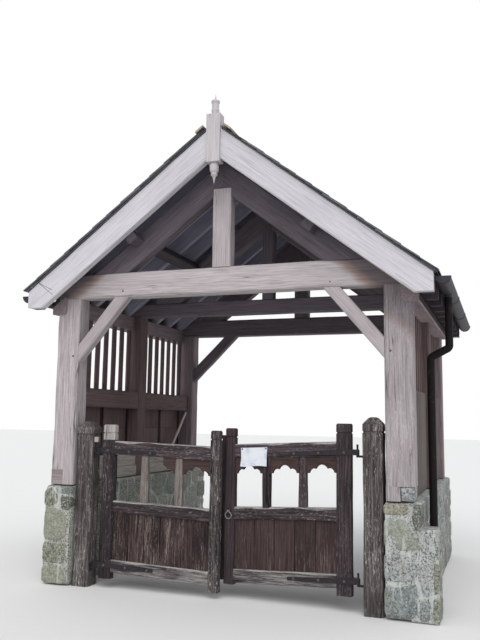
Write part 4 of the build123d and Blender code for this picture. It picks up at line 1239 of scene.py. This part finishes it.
class Leaf:
    """Places on one gate leaf, as it hangs."""

    def __init__(self, side, width, lift, fall, ajar):
        self.side, self.width, self.lift, self.fall = side, width, lift, fall
        pivot = Matrix.Translation((side * HINGE_X, HINGE_Y, 0))
        turn = Matrix.Rotation(math.radians(-side * ajar), 4, "Z")
        self.place = pivot @ turn @ pivot.inverted()
        self.opening = (width - HANGING_STILE - MEETING_STILE - 2 * MUNTIN) / 3

    def point(self, along, height, depth=0.0):
        """depth is measured back from the leaf's front face."""
        return Vector((self.side * (LEAF_EDGE_X - along), LEAF_FRONT + depth,
                       height + self.lift - self.fall * along))

    def upright(self, piece, along, low, high, width, thickness, depth, **options):
        """A standing member centred at a distance along the leaf."""
        beam(piece, self.point(along, low, depth), self.point(along, high, depth), ACROSS, width,
             thickness, place=self.place, **options)

    def level(self, piece, start, end, low, high, thickness, depth, **options):
        """A member that runs along the leaf and droops with it."""
        middle = (low + high) / 2
        run = (self.point(end, middle) - self.point(start, middle)).normalized()
        spare = 0.03            # cut off again at both ends
        beam(piece, self.point(start, middle, depth) - run * spare,
             self.point(end, middle, depth) + run * spare, UP, high - low, thickness,
             place=self.place,
             cuts=[(self.point(start, middle), (self.side, 0, 0)),
                   (self.point(end, middle), (-self.side, 0, 0))], **options)

    def head(self, piece, along, height, depth, radius, rise):
        """The head of a bolt or pin."""
        dome(piece, self.point(along, height, depth), (0, -1, 0), radius, rise, place=self.place)


def gate_stiles(leaf, name, body):
    centre = LEAF_THICKNESS / 2
    rotted = 0.038 if name == "right" else 0.0
    worn = {"bevel": 0.006, "wear": 1.0}
    hanging = Piece(body + "_hanging_stile_timber", 151 + leaf.side)
    meeting = Piece(body + "_meeting_stile_timber", 155 + leaf.side)
    for stile, along, width, top, foot in (
            (hanging, HANGING_STILE / 2, HANGING_STILE, 1.330, LEAF_FOOT),
            (meeting, leaf.width - MEETING_STILE / 2, MEETING_STILE, 1.325, LEAF_FOOT + rotted)):
        length = top - foot
        profile = grooved(length, 0.070, 0.003, 0.005, (length - 0.010, 0.0), (length, 0.007))
        if name == "left" and stile is hanging:
            # its head has bleached nearly white above the top rail
            head = Piece(body + "_stile_head_timber", 158)
            base = 1.205
            leaf.upright(head, along, base, top, width, LEAF_THICKNESS, centre, step=0.04,
                         profile=[(d - base + foot, inset) for d, inset in profile], **worn)
            head.build(OAK["stile_head"], body=body)
            profile, top = (), base
        leaf.upright(stile, along, foot, top, width, LEAF_THICKNESS, centre, warp=0.002,
                     profile=profile, step=0.08, **worn)
    hanging.build(OAK["stile"], body + "_stiles", body=body)
    meeting.build(OAK["meeting" if name == "left" else "inner_stile"], body=body)


def closing_strip(leaf, body):
    """The strip behind the right leaf's free edge that the left leaf closes against."""
    strip = Piece(body + "_closing_strip", 159)
    for inner, outer, front, back in ((-0.018, 0.0, 0.058, 0.082), (-0.018, 0.060, 0.068, 0.082)):
        leaf.upright(strip, leaf.width + (inner + outer) / 2, 0.135, 1.270, outer - inner,
                     back - front, (front + back) / 2, bevel=0.002, warp=0.0)
    strip.build(OAK["inner_stile"], body=body)


def gate_leaf(name):
    leaf = Leaf(**LEAVES[name])
    left = name == "left"
    body = name + "_gate"
    centre = LEAF_THICKNESS / 2
    end = leaf.width - MEETING_STILE
    gate_stiles(leaf, name, body)
    if not left:
        closing_strip(leaf, body)

    rails = Piece(body + "_rails_timber", 161 + leaf.side)
    for low, high in LEAF_RAILS:
        leaf.level(rails, HANGING_STILE, end, low, high, LEAF_THICKNESS, centre, bevel=0.009,
                   wear=0.9, warp=0.002, step=0.06)
    rails.build(OAK["gate"], body + "_rails", body=body)

    muntins = Piece(body + "_muntins_timber", 171 + leaf.side)
    for i in (0, 1):
        along = HANGING_STILE + (i + 1) * leaf.opening + (i + 0.5) * MUNTIN
        leaf.upright(muntins, along, MUNTIN_LOW, MUNTIN_HIGH, MUNTIN, thickness=0.044,
                     depth=centre, bevel=0.007, wear=1.0, step=0.06)
    muntins.build(OAK["gate_worn" if left else "gate"], body + "_muntins", body=body)

    boards = Piece(body + "_boards_timber", 181 + leaf.side)
    count = 6 if left else 5
    run = end - HANGING_STILE
    for i in range(count):
        leaf.upright(boards, HANGING_STILE + run * (i + 0.5) / count, BOARDS_LOW,
                     BOARDS_HIGH, width=run / count - 0.003, thickness=0.022, depth=0.0305,
                     bevel=0.003, wear=0.8, step=0.06)
    boards.build(OAK[name + "_board"], body + "_boards", body=body)
    dress(body + "_heads", OAK["gate_head"])
    dress(body + "_straps", IRON)

    bolts = Piece(body + "_strap_bolts", 191 + leaf.side)
    for height in BOLT_HEIGHTS:
        for along in BOLT_PLACES:
            leaf.head(bolts, along, height, depth=-0.006, radius=0.012, rise=0.008)
    bolts.build(WORN_IRON, body=body, slot="iron")
    return leaf


def notice(leaf):
    """A blank sheet pinned to the right leaf, its lower corners curling."""
    piece = Piece("blank_notice", 201)
    left, right, low, high = 0.898, 0.672, 1.022, 1.167
    columns, rows, thickness = 16, 10, 0.0012
    bm = bmesh.new()

    def spot(u, v, back):
        waist = 0.004 * math.sin(v * math.pi) * (1 - 2 * u)
        along = left + (right - left) * u - waist
        height = low + (high - low) * v - 0.003 * math.sin(u * 7.0) * (1 - v)
        curl = 0.004 + 0.010 * (1 - v) ** 2 + 0.016 * max(0.0, u - v - 0.72)
        return leaf.point(along, height, back - curl)

    front, rear = ([[bm.verts.new(spot(i / columns, j / rows, back)) for i in range(columns + 1)]
                    for j in range(rows + 1)] for back in (0.0, thickness))
    for j in range(rows):
        for i in range(columns):
            bm.faces.new((front[j][i], front[j][i + 1], front[j + 1][i + 1], front[j + 1][i]))
            bm.faces.new((rear[j][i], rear[j + 1][i], rear[j + 1][i + 1], rear[j][i + 1]))
    rim = ([(0, i) for i in range(columns)] + [(j, columns) for j in range(rows)]
           + [(rows, i) for i in range(columns, 0, -1)] + [(j, 0) for j in range(rows, 0, -1)])
    for (j0, i0), (j1, i1) in zip(rim, rim[1:] + rim[:1]):
        bm.faces.new((front[j1][i1], front[j0][i0], rear[j0][i0], rear[j1][i1]))
    piece.take(bm, None, place=leaf.place)
    piece.build(PAPER, body="right_gate", smooth=30, slot="gate_timber")
    pins = Piece("notice_pins", 202)
    for along in (left - 0.012, right + 0.012):
        leaf.head(pins, along, high - 0.010, depth=-0.005, radius=0.0065, rise=0.004)
    pins.build(IRON, body="right_gate", slot="iron")


# The whole lychgate

dwarf_walls()
posts()
tie_beams()
knee_braces()
king_posts()
pegs()
small_marks()
principal_rafters()
purlins_and_ridge()
common_rafters()
wall_plates()
roof_boards()
barge_boards()
slates()
ridge_tiles()
screens()
gate_posts()
gate_leaf("left")
notice(gate_leaf("right"))
dress("finials", OAK["finial"])
dress("gate_hooks", IRON)
dress("ring_handle", RING_IRON)
dress("gutters", GUTTER_IRON)
dress("downpipe", PIPE_IRON)


# Floor, light and camera

def floor():
    mesh = bpy.data.meshes.new("floor")
    reach = 60
    mesh.from_pydata([(-reach, -reach, 0), (reach, -reach, 0), (reach, reach, 0),
                      (-reach, reach, 0)], [], [(0, 1, 2, 3)])
    thing = bpy.data.objects.new("floor", mesh)
    bpy.context.scene.collection.objects.link(thing)
    mesh.materials.append(Finish("floor").finish((0.78, 0.77, 0.75, 1), 0.9, specular=0.1))


def sky():
    """Pale blue light, and white where the camera sees the sky or its reflection."""
    world = bpy.data.worlds.new("world")
    bpy.context.scene.world = world
    world.use_nodes = True
    world.node_tree.nodes.clear()
    t = Graph(world.node_tree)
    rays = t.node("ShaderNodeLightPath").outputs
    seen = t.math("MAXIMUM", rays["Is Camera Ray"], rays["Is Glossy Ray"])
    seen = t.math("MAXIMUM", seen, rays["Is Transmission Ray"])
    ambient = t.node("ShaderNodeBackground", {"Color": (0.93, 0.96, 1.0, 1), "Strength": 0.85})
    white = t.node("ShaderNodeBackground", {"Color": (1, 1, 1, 1)})
    blend = t.node("ShaderNodeMixShader", {0: seen, 1: ambient.outputs[0], 2: white.outputs[0]})
    t.node("ShaderNodeOutputWorld", {0: blend.outputs[0]})

    sun = bpy.data.lights.new("sky_side", "SUN")
    sun.energy = 1.3
    sun.angle = math.radians(50)
    lamp = bpy.data.objects.new("sky_side", sun)
    lamp.rotation_euler = Vector((-0.25, 1.0, -1.1)).to_track_quat("-Z", "Y").to_euler()
    bpy.context.scene.collection.objects.link(lamp)


def camera():
    """The photograph's viewpoint, fitted to the edges of the frame."""
    yaw, pitch, roll = (math.radians(a) for a in (19.9552, 7.7725, 0.8958))
    focal_length, picture_height = 732.94, 640      # pixels
    forward = Vector((-math.sin(yaw) * math.cos(pitch), math.cos(yaw) * math.cos(pitch),
                      math.sin(pitch)))
    level = Vector((math.cos(yaw), math.sin(yaw), 0))
    rise = level.cross(forward)
    right = level * math.cos(roll) + rise * math.sin(roll)
    up = -level * math.sin(roll) + rise * math.cos(roll)
    data = bpy.data.cameras.new("camera")
    data.sensor_fit = "AUTO"
    data.sensor_width = 36
    data.lens = focal_length / picture_height * 36
    eye = bpy.data.objects.new("camera", data)
    matrix = Matrix((right, up, -forward)).transposed().to_4x4()
    matrix.translation = Vector((2.1541, -6.7836, 1.3832))
    eye.matrix_world = matrix
    bpy.context.scene.collection.objects.link(eye)
    bpy.context.scene.camera = eye


floor()
sky()
camera()
bpy.context.scene.view_settings.view_transform = "Standard"
